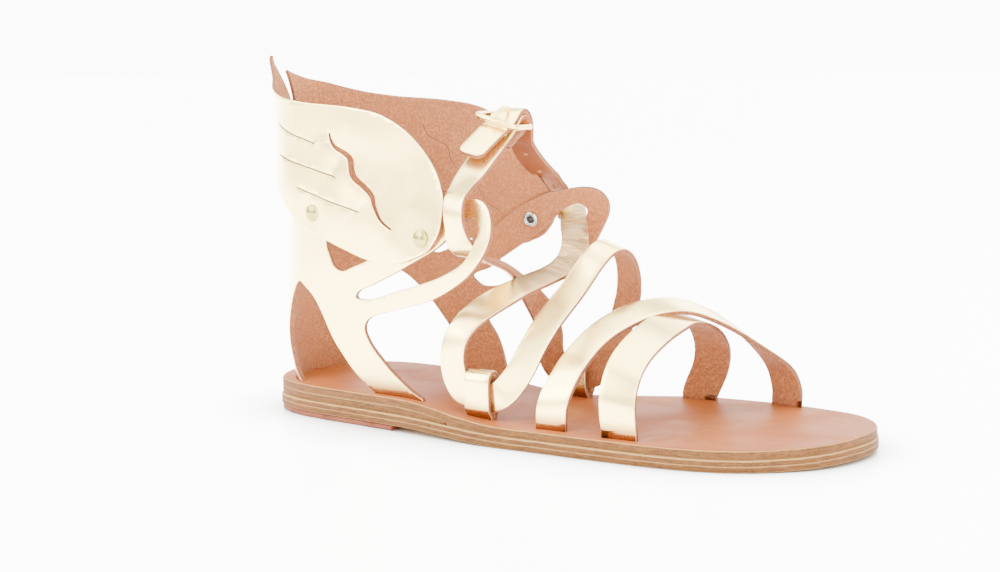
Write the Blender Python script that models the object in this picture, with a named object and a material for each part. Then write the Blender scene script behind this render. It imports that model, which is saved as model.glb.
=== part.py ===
# Gladiator sandal for the right foot, with a winged ankle.
# Metres, +Z up. X runs from the back of the heel to the toe tip, -Y is the outer (lateral) side
# of the foot and +Y the inner (medial) side. The floor is Z = 0.
import math

import bmesh
import bpy
from mathutils import Vector

MM = 0.001

# Sole
SOLE_LENGTH = 248.5 * MM
BALL_WIDTH = 88.0 * MM
INSOLE_THICKNESS = 3.0 * MM
OUTSOLE_THICKNESS = 4.4 * MM
HEEL_WEDGE_THICKNESS = 2.7 * MM
HEEL_LIFT_THICKNESS = 2.0 * MM
TOE_SPRING = 1.5 * MM
OUTSOLE_EDGE_STEP = 0.5 * MM
RIM_CHAMFER = 0.6 * MM
LAYER_GAP = 0.3 * MM
HEEL_BREAST = 0.29
ARCH_END = 0.53
WEDGE_FULL_TO = 0.30
WEDGE_END = 0.50
TOE_SPRING_START = 0.86

# Leather of the upper
HARNESS_THICKNESS = 2.0 * MM
WING_THICKNESS = 1.8 * MM
STRAP_THICKNESS = 1.8 * MM
CLEARANCE = 0.3 * MM
ANKLE_HEIGHT = 140.0 * MM
HARNESS_REACH = 134.0 * MM
WING_SHARE = 0.873
WING_REACH = WING_SHARE * HARNESS_REACH
OVER_STRAP_WIDTH = 12.5 * MM
UNDER_STRAP_WIDTH = 14.0 * MM
LACE_WIDTH = 10.5 * MM
SOLE_LOOP_WIDTH = 10.6 * MM
SOLE_LOOP_HEIGHT = 17.0 * MM
SOLE_LOOP_EASE = 1.5 * MM
INSTEP_HEIGHT = 120.0 * MM

# Hardware
RIVET_CAP_RADIUS = 3.4 * MM
RIVET_CAP_HEIGHT = 1.5 * MM
RIVET_SHANK_RADIUS = 1.5 * MM
RIVET_TUBE_RADIUS = 0.9 * MM
RIVET_RING_RADIUS = 3.1 * MM
RIVET_RING_THICKNESS = 0.6 * MM
BUCKLE_WIDTH = 18.0 * MM
BUCKLE_LENGTH = 13.0 * MM
BUCKLE_ROD = 2.2 * MM
PRONG_RADIUS = 0.8 * MM
STRAP_RIVET_RADIUS = 0.9 * MM
STRAP_RIVET_HEAD = 0.6 * MM
PUNCH_HOLE_RADIUS = 1.1 * MM

# Widths of the sole: share of its length, then shares of the ball width to either side.
SOLE_ROWS = (
    # along, lateral, medial
    (0.000, 0.000, 0.000),
    (0.024, 0.190, 0.195),
    (0.072, 0.285, 0.310),
    (0.141, 0.332, 0.368),
    (0.238, 0.368, 0.352),
    (0.359, 0.415, 0.284),
    (0.459, 0.452, 0.296),
    (0.560, 0.458, 0.398),
    (0.660, 0.466, 0.514),
    (0.761, 0.464, 0.540),
    (0.850, 0.420, 0.522),
    (0.926, 0.302, 0.455),
    (0.978, 0.140, 0.300),
    (1.000, -0.095, 0.095),
)

# Form of the ankle in level cuts: a round back and two straight sides that open forwards.
# Heights, back and radius are shares of the ankle height; the splay is in degrees.
HARNESS_FORM = (
    # height, back, radius, splay
    (0.043, 0.061, 0.171, 6.0),
    (0.100, 0.057, 0.175, 6.5),
    (0.214, 0.039, 0.207, 8.0),
    (0.364, 0.057, 0.214, 8.5),
    (0.493, 0.068, 0.218, 8.5),
    (0.636, 0.071, 0.209, 6.5),
    (0.750, 0.071, 0.199, 5.0),
    (1.000, 0.071, 0.191, 4.5),
)
# The wings stand off the harness at the back: only their back line differs.
WING_BACK = (
    # height, back
    (0.429, 0.052),
    (0.493, 0.051),
    (0.636, 0.025),
    (0.750, 0.029),
    (0.864, 0.029),
    (0.929, 0.018),
    (1.000, -0.025),
)

# Half of the harness laid flat, from the seam line at the back round to the eye at the front.
# Each run is one smooth edge; runs meet at corners. Around is a share of the harness reach,
# height a share of the ankle height. A height of None stands for the foot that enters the sole.
REAR_OPENING = (
    # lateral around, height, medial around, height
    (0.194, None, 0.194, None),
    (0.194, 0.095, 0.194, 0.095),
    (0.161, 0.132, 0.161, 0.132),
    (0.154, 0.186, 0.154, 0.186),
    (0.164, 0.257, 0.164, 0.257),
    (0.194, 0.321, 0.194, 0.321),
    (0.230, 0.371, 0.230, 0.371),
    (0.256, 0.389, 0.258, 0.389),
    (0.284, 0.379, 0.299, 0.379),
    (0.321, 0.355, 0.351, 0.354),
    (0.353, 0.318, 0.403, 0.314),
    (0.382, 0.275, 0.444, 0.275),
    (0.410, 0.232, 0.478, 0.236),
    (0.433, 0.196, 0.507, 0.196),
    (0.452, 0.157, 0.526, 0.157),
    (0.478, 0.121, 0.530, 0.121),
    (0.507, 0.095, 0.530, 0.095),
    (0.507, None, 0.530, None),
)
LEG_AND_EYE = (
    # lateral around, height, medial around, height
    (0.687, None, 0.679, None),
    (0.687, 0.095, 0.679, 0.095),
    (0.649, 0.118, 0.675, 0.125),
    (0.612, 0.157, 0.668, 0.164),
    (0.582, 0.200, 0.654, 0.200),
    (0.552, 0.241, 0.631, 0.232),
    (0.535, 0.279, 0.612, 0.268),
    (0.552, 0.307, 0.623, 0.300),
    (0.604, 0.325, 0.660, 0.305),
    (0.672, 0.343, 0.701, 0.318),
    (0.761, 0.366, 0.761, 0.332),
    (0.828, 0.393, 0.828, 0.358),
    (0.892, 0.429, 0.892, 0.398),
    (0.933, 0.461, 0.940, 0.448),
    (0.966, 0.500, 0.978, 0.510),
    (0.984, 0.543, 1.003, 0.564),
    (0.982, 0.586, 0.996, 0.604),
    (0.963, 0.625, 0.963, 0.629),
    (0.929, 0.645, 0.910, 0.633),
    (0.873, 0.643, 0.836, 0.620),
    (0.821, 0.625, 0.806, 0.614),
    (0.761, 0.604, 0.761, 0.596),
    (0.701, 0.564, 0.701, 0.564),
    (0.627, 0.511, 0.627, 0.511),
    (0.545, 0.468, 0.545, 0.468),
    (0.478, 0.443, 0.478, 0.443),
    (0.440, 0.430, 0.440, 0.430),
    (0.409, 0.440, 0.409, 0.440),
    (0.388, 0.471, 0.388, 0.471),
    (0.373, 0.507, 0.373, 0.507),
    (0.378, 0.571, 0.378, 0.571),
    (0.418, 0.630, 0.418, 0.630),
    (0.425, 0.700, 0.425, 0.700),
)
EYE_HOLE = (
    # lateral around, height, medial around, height
    (0.500, 0.359, 0.567, 0.361),
    (0.560, 0.361, 0.604, 0.338),
    (0.642, 0.386, 0.657, 0.342),
    (0.731, 0.411, 0.731, 0.370),
    (0.799, 0.432, 0.799, 0.401),
    (0.851, 0.454, 0.851, 0.434),
    (0.896, 0.479, 0.896, 0.482),
    (0.925, 0.514, 0.925, 0.539),
    (0.940, 0.557, 0.933, 0.571),
    (0.929, 0.593, 0.903, 0.586),
    (0.896, 0.596, 0.854, 0.566),
    (0.858, 0.564, 0.825, 0.539),
    (0.799, 0.514, 0.787, 0.507),
    (0.701, 0.464, 0.716, 0.459),
    (0.642, 0.436, 0.657, 0.420),
    (0.560, 0.400, 0.616, 0.389),
    (0.507, 0.379, 0.575, 0.374),
)

# One wing laid flat: its upright back edge, then the rest of its outline from below the back
# edge round the front to the tip. Around is a share of the wing reach.
WING_BACK_EDGE = (
    # around, height
    (0.020, 0.993),
    (0.008, 0.907),
    (0.008, 0.800),
)
WING_EDGE = (
    # around, height
    (0.008, 0.800),
    (0.054, 0.745),
    (0.128, 0.697),
    (0.205, 0.650),
    (0.265, 0.611),
    (0.331, 0.571),
    (0.378, 0.541),
    (0.483, 0.514),
    (0.562, 0.493),
    (0.674, 0.469),
    (0.793, 0.467),
    (0.911, 0.500),
    (0.956, 0.531),
    (0.982, 0.562),
    (0.996, 0.601),
    (1.000, 0.639),
    (0.983, 0.678),
    (0.956, 0.714),
    (0.915, 0.753),
    (0.870, 0.789),
    (0.818, 0.821),
    (0.758, 0.847),
    (0.690, 0.866),
    (0.574, 0.879),
    (0.482, 0.884),
    (0.391, 0.889),
    (0.291, 0.901),
    (0.197, 0.921),
    (0.111, 0.945),
    (0.060, 0.970),
    (0.020, 0.993),
)
RIVET_PLACES = (
    # name, around, height
    ("front", 0.902, 0.539),
    ("rear", 0.428, 0.586),
)

# Strap routes. Along is a share of the sole length, across a share of the ball width and height
# a share of the instep height. Heading and dip, in degrees, aim the strap's width: its finished
# side is the width crossed with the route's direction. A height of None stands for a foot that
# ends inside the sole.
OVER_STRAP = (
    # along, across, height, heading, dip
    (0.577, -0.386, None, 0, 0),
    (0.577, -0.386, 0.085, 0, 0),
    (0.580, -0.388, 0.140, -2, 0),
    (0.588, -0.358, 0.198, -8, -4),
    (0.598, -0.290, 0.262, -17, -12),
    (0.616, -0.185, 0.330, -28, -18),
    (0.640, -0.070, 0.374, -34, -20),
    (0.668, 0.045, 0.397, -37, -18),
    (0.700, 0.150, 0.394, -37, -16),
    (0.736, 0.272, 0.346, -34, -18),
    (0.767, 0.385, 0.275, -27, -16),
    (0.797, 0.480, 0.190, -14, -8),
    (0.808, 0.500, 0.120, -6, 0),
    (0.808, 0.500, 0.085, -5, 0),
    (0.808, 0.500, None, -5, 0),
)
UNDER_STRAP = (
    # along, across, height, heading, dip
    (0.694, -0.409, None, 0, 0),
    (0.694, -0.409, 0.085, 0, 0),
    (0.693, -0.416, 0.125, 2, 0),
    (0.692, -0.411, 0.190, 4, -4),
    (0.692, -0.360, 0.256, 4, -10),
    (0.695, -0.280, 0.306, 2, -14),
    (0.700, -0.150, 0.347, 0, -16),
    (0.702, -0.030, 0.367, 0, -16),
    (0.702, 0.080, 0.373, 0, -14),
    (0.703, 0.210, 0.352, 2, -14),
    (0.704, 0.320, 0.308, 6, -12),
    (0.699, 0.410, 0.240, 10, -8),
    (0.687, 0.456, 0.170, 10, -2),
    (0.673, 0.462, 0.110, 8, 0),
    (0.668, 0.460, 0.082, 8, 0),
    (0.666, 0.460, None, 8, 0),
)
# The lacing strap starts folded round the buckle's bar, runs down the outer side through the
# lateral eye, across to the medial sole loop, back over the instep to the lateral sole loop and
# up again through the medial eye to the buckle.
LACE_STRAP = (
    # along, across, height, heading, dip
    (0.429, -0.102, 0.9, 180, 15),
    (0.43, -0.035, 0.932, 180, 16),
    (0.43, 0.012, 0.947, 180, 16),
    (0.43, 0.05, 0.97, 180, 16),
    (0.43, 0.045, 0.986, 180, 16),
    (0.43, 0.027, 0.994, 180, 16),
    (0.43, 0.0, 0.986, 180, 16),
    (0.43, -0.051, 0.949, 180, 15),
    (0.43, -0.116, 0.916, 181, 14),
    (0.431, -0.227, 0.866, 183, 11),
    (0.433, -0.33, 0.82, 184, 8),
    (0.435, -0.415, 0.782, 182, 4),
    (0.438, -0.475, 0.75, 180, 2),
    (0.441, -0.498, 0.705, 178, -2),
    (0.4425, -0.488, 0.662, 177, -8),
    (0.4430, -0.460, 0.615, 175, -16),
    (0.452, -0.4, 0.576, 172, 6),
    (0.458, -0.305, 0.554, 170, 14),
    (0.456, -0.182, 0.524, 160, 24),
    (0.452, -0.068, 0.478, 134, 34),
    (0.455, 0.03, 0.416, 96, 36),
    (0.458, 0.114, 0.354, 64, 30),
    (0.454, 0.190, 0.281, 34, 18),
    (0.443, 0.243, 0.222, 10, 20),
    (0.449, 0.268, 0.152, 0, 56),
    (0.487, 0.274, 0.130, 0, 90),
    (0.519, 0.278, 0.147, 0, 118),
    (0.542, 0.290, 0.215, 0, 144),
    (0.567, 0.297, 0.350, -2, 160),
    (0.579, 0.280, 0.427, -5, 168),
    (0.586, 0.235, 0.507, -8, 168),
    (0.589, 0.155, 0.567, -10, 165),
    (0.583, 0.075, 0.582, -10, 162),
    (0.571, 0.010, 0.545, -10, 160),
    (0.549, -0.058, 0.455, -9, 158),
    (0.526, -0.135, 0.372, -7, 156),
    (0.511, -0.215, 0.288, -4, 153),
    (0.500, -0.282, 0.208, -2, 138),
    (0.479, -0.340, 0.144, 0, 106),
    (0.449, -0.347, 0.130, 0, 88),
    (0.417, -0.353, 0.148, 0, 60),
    (0.402, -0.359, 0.214, 0, 20),
    (0.403, -0.358, 0.290, -4, -6),
    (0.416, -0.338, 0.350, -10, -20),
    (0.436, -0.308, 0.394, -16, -30),
    (0.457, -0.250, 0.430, -21, -34),
    (0.481, -0.155, 0.466, -22, -24),
    (0.494, -0.040, 0.485, -18, -19),
    (0.505, 0.068, 0.508, -8, -16),
    (0.502, 0.165, 0.537, 6, -18),
    (0.489, 0.255, 0.573, 22, -22),
    (0.471, 0.345, 0.602, 26, -8),
    (0.446, 0.415, 0.614, 22, 16),
    (0.435, 0.470, 0.631, 20, 22),
    (0.434, 0.518, 0.662, 44, 14),
    (0.4346, 0.532, 0.704, 92, 8),
    (0.4354, 0.500, 0.746, 135, 8),
    (0.4314, 0.441, 0.775, 152, 8),
    (0.4233, 0.381, 0.798, 165, 8),
    (0.4177, 0.318, 0.823, 172, 8),
    (0.4143, 0.227, 0.866, 174, 6),
    (0.4173, 0.141, 0.896, 177, 8),
    (0.426, 0.105, 0.921, 180, 11),
    (0.429, 0.092, 0.96, 180, 16),
    (0.4305, 0.073, 0.994, 180, 16),
    (0.4305, 0.035, 1.014, 180, 16),
    (0.4305, -0.007, 1.009, 180, 16),
    (0.4295, -0.055, 0.979, 180, 16),
    (0.4285, -0.119, 0.952, 180, 15),
    (0.427, -0.182, 0.928, 181, 14),
    (0.4245, -0.244, 0.902, 184, 12),
    (0.4225, -0.295, 0.879, 186, 11),
)
SOLE_LOOPS = (
    # name, along, across
    ("sole_loop_lateral", 0.449, -0.347),
    ("sole_loop_medial", 0.488, 0.274),
)
PUNCH_ROWS = (
    # along, across, height
    (0.4155, 0.215, 0.878),
    (0.4170, 0.300, 0.833),
    (0.4220, 0.368, 0.803),
)
# The buckle's bar, round which the lacing strap's end is folded, and where it leans.
BUCKLE_BAR = (0.4300, 0.023, 0.974)
BUCKLE_FRONT_DIP = 16.0
BUCKLE_REST_DIP = -1.0
STRAP_SLOPE = 33.5
STRAP_RIVET_ALONG = 10.5 * MM
STRAP_RIVET_ASIDE = 2.4 * MM

SMOOTH_STEPS = 3
PLATE_STEPS = 2
PLATE_CUT_AROUND = 5.0 * MM
BEND_REACH = 50.0 * MM


def material(name, color, roughness, metallic):
    shader = bpy.data.materials.new(name)
    shader.use_nodes = True
    principled = shader.node_tree.nodes["Principled BSDF"]
    principled.inputs["Base Color"].default_value = (*color, 1.0)
    principled.inputs["Roughness"].default_value = roughness
    principled.inputs["Metallic"].default_value = metallic
    return shader


def add_object(name, mesh, shader, parent):
    thing = bpy.data.objects.new(name, mesh)
    bpy.context.scene.collection.objects.link(thing)
    mesh.materials.append(shader)
    thing.parent = parent
    return thing


def mesh_from(name, points, faces):
    mesh = bpy.data.meshes.new(name)
    mesh.from_pydata([tuple(point) for point in points], [], faces)
    mesh.validate()
    form = bmesh.new()
    form.from_mesh(mesh)
    bmesh.ops.recalc_face_normals(form, faces=form.faces)
    form.to_mesh(mesh)
    form.free()
    mesh.shade_smooth()
    mesh.set_sharp_from_angle(angle=math.radians(35))
    return mesh


def blend(table, column, key):
    """Value of a column of a table at a key of its first column, straight between rows."""
    if key <= table[0][0]:
        return table[0][column]
    for low, high in zip(table, table[1:]):
        if key <= high[0]:
            share = (key - low[0]) / (high[0] - low[0])
            return low[column] + share * (high[column] - low[column])
    return table[-1][column]


def smooth_step(value, start, end):
    share = min(max((value - start) / (end - start), 0.0), 1.0)
    return share * share * (3.0 - 2.0 * share)


def smooth_curve(points, steps, closed):
    """Points on a smooth curve through the given points, with steps to each span."""
    count = len(points)
    spans = count if closed else count - 1
    curve = []
    for span in range(spans):
        if closed:
            before, start, end, after = (points[(span + k) % count] for k in (-1, 0, 1, 2))
        else:
            before = points[max(span - 1, 0)]
            start = points[span]
            end = points[span + 1]
            after = points[min(span + 2, count - 1)]
        for step in range(steps):
            t = step / steps
            pull_in = (end - before) * 0.5
            pull_out = (after - start) * 0.5
            curve.append(
                start * (2 * t**3 - 3 * t**2 + 1)
                + pull_in * (t**3 - 2 * t**2 + t)
                + end * (3 * t**2 - 2 * t**3)
                + pull_out * (t**3 - t**2)
            )
    if not closed:
        curve.append(points[-1].copy())
    return curve


def cut(target, cutters):
    """Takes the cutters out of the target and removes them."""
    for cutter in cutters:
        cutter.hide_render = True
        cutter.display_type = "WIRE"
        modifier = target.modifiers.new("cut", "BOOLEAN")
        modifier.operation = "DIFFERENCE"
        modifier.solver = "EXACT"
        modifier.object = cutter
    apply_modifiers(target)
    for cutter in cutters:
        bpy.data.objects.remove(cutter, do_unlink=True)


def join(target, other):
    modifier = target.modifiers.new("join", "BOOLEAN")
    modifier.operation = "UNION"
    modifier.solver = "EXACT"
    modifier.object = other
    apply_modifiers(target)
    bpy.data.objects.remove(other, do_unlink=True)


def apply_modifiers(thing):
    bpy.context.view_layer.update()
    evaluated = thing.evaluated_get(bpy.context.evaluated_depsgraph_get())
    finished = bpy.data.meshes.new_from_object(evaluated)
    thing.modifiers.clear()
    thing.data = finished
    finished.set_sharp_from_angle(angle=math.radians(35))


# The sole, layer by layer


def ground_rise(x):
    """Height of the outsole's underside: on the heel lift, down to the ball, up at the toes."""
    share = x / SOLE_LENGTH
    heel = (HEEL_LIFT_THICKNESS + LAYER_GAP) * (1.0 - smooth_step(share, HEEL_BREAST, ARCH_END))
    toe = TOE_SPRING * max((share - TOE_SPRING_START) / (1.0 - TOE_SPRING_START), 0.0) ** 2
    return heel + toe


def insole_bottom(x):
    share = x / SOLE_LENGTH
    wedge = HEEL_WEDGE_THICKNESS + LAYER_GAP
    lift = wedge * (1.0 - smooth_step(share, WEDGE_FULL_TO, WEDGE_END))
    return ground_rise(x) + OUTSOLE_THICKNESS + LAYER_GAP + lift


def insole_top(x):
    return insole_bottom(x) + INSOLE_THICKNESS


def sole_rim(step_out):
    """The sole's outline as lateral and medial edges with equally many points."""
    lateral = [Vector((a * SOLE_LENGTH, -l * BALL_WIDTH, 0.0)) for a, l, _ in SOLE_ROWS]
    medial = [Vector((a * SOLE_LENGTH, m * BALL_WIDTH, 0.0)) for a, _, m in SOLE_ROWS]
    ring = smooth_curve(lateral + medial[-2:0:-1], SMOOTH_STEPS, True)
    moved = []
    for index, point in enumerate(ring):
        along = ring[(index + 1) % len(ring)] - ring[index - 1]
        outward = Vector((along.y, -along.x, 0.0)).normalized()
        moved.append(point + outward * step_out)
    half = (len(SOLE_ROWS) - 1) * SMOOTH_STEPS
    near = moved[: half + 1]
    far = [moved[0]] + moved[:half - 1:-1]
    return near, far


def sole_layer(name, bottom, top, step_out, shader, parent):
    """A layer between two surfaces whose height depends on how far forward they are."""
    rings = (
        (step_out - RIM_CHAMFER, bottom, 0.0),
        (step_out, bottom, RIM_CHAMFER),
        (step_out, top, -RIM_CHAMFER),
        (step_out - RIM_CHAMFER, top, 0.0),
    )
    points = []
    starts = []
    for offset, surface, shift in rings:
        near, far = sole_rim(offset)
        starts.append(len(points))
        for point in near + far[1:-1]:
            points.append(Vector((point.x, point.y, surface(point.x) + shift)))
    near_count = len(near)
    count = len(points) // len(rings)
    order = list(range(near_count)) + list(range(count - 1, near_count - 1, -1))
    faces = []
    for low, high in zip(starts, starts[1:]):
        for k in range(count):
            here = order[k]
            following = order[(k + 1) % count]
            faces.append((low + here, low + following, high + following, high + here))
    for start in (starts[0], starts[-1]):
        faces += ladder(start, near_count)
    return add_object(name, mesh_from(name, points, faces), shader, parent)


def ladder(start, near_count):
    """Faces that bridge the lateral edge to the medial one, rung by rung."""
    last = near_count - 1
    far_start = start + near_count
    faces = [(start, start + 1, far_start)]
    for k in range(1, last - 1):
        faces.append((start + k, start + k + 1, far_start + k, far_start + k - 1))
    faces.append((start + last - 1, start + last, far_start + last - 2))
    return faces


def keep_part(thing, place, direction):
    """Cuts a solid by a plane, keeps the part behind it and closes the cut."""
    form = bmesh.new()
    form.from_mesh(thing.data)
    everything = form.verts[:] + form.edges[:] + form.faces[:]
    result = bmesh.ops.bisect_plane(
        form, geom=everything, plane_co=place, plane_no=direction, clear_outer=True
    )
    rim = [item for item in result["geom_cut"] if isinstance(item, bmesh.types.BMEdge)]
    bmesh.ops.edgeloop_fill(form, edges=rim)
    bmesh.ops.recalc_face_normals(form, faces=form.faces)
    form.to_mesh(thing.data)
    form.free()


# The form of the ankle, on which flat leather is bent


def harness_form(height):
    share = height / ANKLE_HEIGHT
    back = blend(HARNESS_FORM, 1, share) * ANKLE_HEIGHT
    radius = blend(HARNESS_FORM, 2, share) * ANKLE_HEIGHT
    return back, radius, math.radians(blend(HARNESS_FORM, 3, share))


def wing_form(height):
    _, radius, splay = harness_form(height)
    back = blend(WING_BACK, 1, height / ANKLE_HEIGHT) * ANKLE_HEIGHT
    stand_off = (HARNESS_THICKNESS + WING_THICKNESS) / 2 + CLEARANCE + 0.1 * MM
    return back, radius + stand_off, splay


def on_form(form, around, height):
    """Point of the bent leather's middle surface; around is negative on the lateral side."""
    back, radius, splay = form(height)
    turn = abs(around) / radius
    last_turn = math.pi / 2 - splay
    bent = min(turn, last_turn)
    straight = max(turn - last_turn, 0.0) * radius
    x = back + radius * (1.0 - math.cos(bent)) + straight * math.cos(splay)
    y = radius * math.sin(bent) + straight * math.sin(splay)
    return Vector((x, math.copysign(y, around), height))


def form_normal(form, around, height):
    """Outward normal of the form."""
    small = 0.2 * MM
    across = on_form(form, around + small, height) - on_form(form, around - small, height)
    if abs(around) < small:
        across = Vector((0.0, 1.0, 0.0))
    up = on_form(form, around, height + small) - on_form(form, around, height - small)
    return up.cross(across).normalized()


def around_at(form, point):
    """How far round the form a point on it lies."""
    back, radius, splay = form(point.z)
    start = back + radius * (1.0 - math.sin(splay))
    if point.x < start:
        distance = radius * math.atan2(abs(point.y), back + radius - point.x)
    else:
        distance = radius * (math.pi / 2 - splay) + (point.x - start) / math.cos(splay)
    return math.copysign(distance, point.y)


def cut_across(flat, place, direction):
    everything = flat.verts[:] + flat.edges[:] + flat.faces[:]
    bmesh.ops.bisect_plane(flat, geom=everything, plane_co=place, plane_no=direction)


def bend_heights():
    """Heights at which the form changes."""
    return sorted({row[0] for row in HARNESS_FORM} | {row[0] for row in WING_BACK})


def bend_plate(name, outline, holes, form, thickness, shader, parent):
    """A flat cut piece of leather, cut across so that it can bend, then bent on the form."""
    flat = bmesh.new()
    edges = []
    for loop in [outline] + holes:
        corners = [flat.verts.new((around, height, 0.0)) for around, height in loop]
        for here, following in zip(corners, corners[1:] + corners[:1]):
            edges.append(flat.edges.new((here, following)))
    bmesh.ops.triangle_fill(flat, edges=edges, use_beauty=True)
    count = math.ceil(BEND_REACH / PLATE_CUT_AROUND)
    for k in range(-count, count + 1):
        cut_across(flat, Vector((k * PLATE_CUT_AROUND, 0, 0)), Vector((1, 0, 0)))
    for height in bend_heights():
        cut_across(flat, Vector((0, height * ANKLE_HEIGHT, 0)), Vector((0, 1, 0)))
    flat.verts.index_update()
    outer = []
    inner = []
    for corner in flat.verts:
        middle = on_form(form, corner.co.x, corner.co.y)
        normal = form_normal(form, corner.co.x, corner.co.y)
        outer.append(middle + normal * thickness / 2)
        inner.append(middle - normal * thickness / 2)
    shift = len(outer)
    faces = []
    for face in flat.faces:
        corners = [corner.index for corner in face.verts]
        faces.append(corners)
        faces.append([index + shift for index in reversed(corners)])
    for edge in flat.edges:
        if len(edge.link_faces) == 1:
            a, b = (corner.index for corner in edge.verts)
            faces.append((a, b, b + shift, a + shift))
    flat.free()
    return add_object(name, mesh_from(name, outer + inner, faces), shader, parent)


def one_side(rows, side):
    """The around and height columns of one side of the harness pattern."""
    return [row[:2] if side < 0 else row[2:] for row in rows]


def run(rows, reach, side, foot):
    """A smooth edge of a flat pattern, in metres round and up. Feet stay straight."""
    points = [
        Vector((around * reach * side, height * ANKLE_HEIGHT, 0.0))
        for around, height in rows if height is not None
    ]
    curve = [(point.x, point.y) for point in smooth_curve(points, PLATE_STEPS, False)]
    if rows[0][1] is None:
        curve.insert(0, (rows[0][0] * reach * side, foot))
    if rows[-1][1] is None:
        curve.append((rows[-1][0] * reach * side, foot))
    return curve


def ring_run(rows, reach, side):
    points = [Vector((around * reach * side, height * ANKLE_HEIGHT, 0.0)) for around, height in rows]
    return [(point.x, point.y) for point in smooth_curve(points, PLATE_STEPS, True)]


def round_hole(around, height, radius, count=12):
    angles = [2 * math.pi * k / count for k in range(count)]
    return [(around + radius * math.cos(a), height + radius * math.sin(a)) for a in angles]


def rivet_sites(side):
    """Each rivet's name, its place on the wing and on the harness below, and its direction."""
    sites = []
    for name, around, height in RIVET_PLACES:
        wing_around = around * WING_REACH * side
        wing_height = height * ANKLE_HEIGHT
        place = on_form(wing_form, wing_around, wing_height)
        direction = form_normal(wing_form, wing_around, wing_height)
        below = place - direction * ((HARNESS_THICKNESS + WING_THICKNESS) / 2 + CLEARANCE)
        around_harness = around_at(harness_form, below)
        sites.append((name, place, direction, wing_around, wing_height, around_harness, below.z))
    return sites


def harness(shader, parent):
    """The ankle harness: back strip, two legs and the two eyes, cut from one piece."""
    foot = insole_bottom(HEEL_BREAST * SOLE_LENGTH * 0.5)
    outline = []
    for side in (1.0, -1.0):
        edge = run(one_side(REAR_OPENING, side), HARNESS_REACH, side, foot)
        edge += run(one_side(LEG_AND_EYE, side), HARNESS_REACH, side, foot)
        outline += edge if side > 0 else edge[::-1]
    holes = []
    for side in (1.0, -1.0):
        holes.append(ring_run(one_side(EYE_HOLE, side), HARNESS_REACH, side))
        for site in rivet_sites(side):
            holes.append(round_hole(site[5], site[6], RIVET_SHANK_RADIUS + CLEARANCE))
    return bend_plate("heel_harness", outline, holes, harness_form, HARNESS_THICKNESS, shader, parent)


def wing(name, side, shader, parent):
    outline = run(WING_BACK_EDGE, WING_REACH, side, 0.0)[:-1]
    outline += run(WING_EDGE, WING_REACH, side, 0.0)[:-1]
    holes = [round_hole(site[3], site[4], RIVET_SHANK_RADIUS + CLEARANCE) for site in rivet_sites(side)]
    return bend_plate(name, outline, holes, wing_form, WING_THICKNESS, shader, parent)


def turned(name, profile, place, direction, shader, parent, count=14):
    """A closed profile of radius and height, turned about an axis."""
    frame = direction.to_track_quat("Z", "Y")
    points = []
    for radius, height in profile:
        for k in range(count):
            angle = 2 * math.pi * k / count
            spoke = Vector((radius * math.cos(angle), radius * math.sin(angle), height))
            points.append(place + frame @ spoke)
    faces = []
    for row in range(len(profile) - 1):
        for k in range(count):
            following = (k + 1) % count
            faces.append((row * count + k, row * count + following,
                          (row + 1) * count + following, (row + 1) * count + k))
    faces.append(tuple(range(count)))
    faces.append(tuple((len(profile) - 1) * count + k for k in range(count)))
    return add_object(name, mesh_from(name, points, faces), shader, parent)


def rivet(name, place, direction, shader, parent):
    """Domed cap outside, tube through both leathers, rolled ring with its bore inside."""
    outer = WING_THICKNESS / 2 + CLEARANCE
    inner = WING_THICKNESS / 2 + 2 * CLEARANCE + 0.1 * MM + HARNESS_THICKNESS + CLEARANCE
    ring = inner + RIVET_RING_THICKNESS
    profile = (
        (RIVET_CAP_RADIUS * 0.45, outer + RIVET_CAP_HEIGHT),
        (RIVET_CAP_RADIUS * 0.80, outer + RIVET_CAP_HEIGHT * 0.72),
        (RIVET_CAP_RADIUS, outer + RIVET_CAP_HEIGHT * 0.2),
        (RIVET_CAP_RADIUS, outer),
        (RIVET_SHANK_RADIUS, outer),
        (RIVET_SHANK_RADIUS, -inner),
        (RIVET_RING_RADIUS, -inner),
        (RIVET_RING_RADIUS * 0.85, -ring),
        (RIVET_TUBE_RADIUS * 1.3, -ring),
        (RIVET_TUBE_RADIUS, -inner),
        (RIVET_TUBE_RADIUS, -inner * 0.5),
    )
    return turned(name, profile, place, direction, shader, parent)


# Straps


def on_foot(along, across, height):
    return Vector((along * SOLE_LENGTH, across * BALL_WIDTH, height * INSTEP_HEIGHT))


def strap_path(rows, foot):
    """Smooth middle line of a strap and the direction of its width; feet go straight down."""
    middles = []
    widths = []
    for along, across, height, heading, dip in rows:
        if height is None:
            continue
        middles.append(on_foot(along, across, height))
        turn = math.radians(heading)
        slope = math.radians(dip)
        widths.append(Vector((
            math.cos(turn) * math.cos(slope), math.sin(turn) * math.cos(slope), math.sin(slope)
        )))
    middles = smooth_curve(middles, SMOOTH_STEPS, False)
    widths = smooth_curve(widths, SMOOTH_STEPS, False)
    for end, row in ((0, rows[0]), (len(middles), rows[-1])):
        if row[2] is None:
            above = middles[min(end, len(middles) - 1)]
            middles.insert(len(middles) if end else 0, Vector((above.x, above.y, foot(above.x))))
            widths.insert(len(widths) if end else 0, widths[-1 if end else 0].copy())
    return middles, widths


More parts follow.
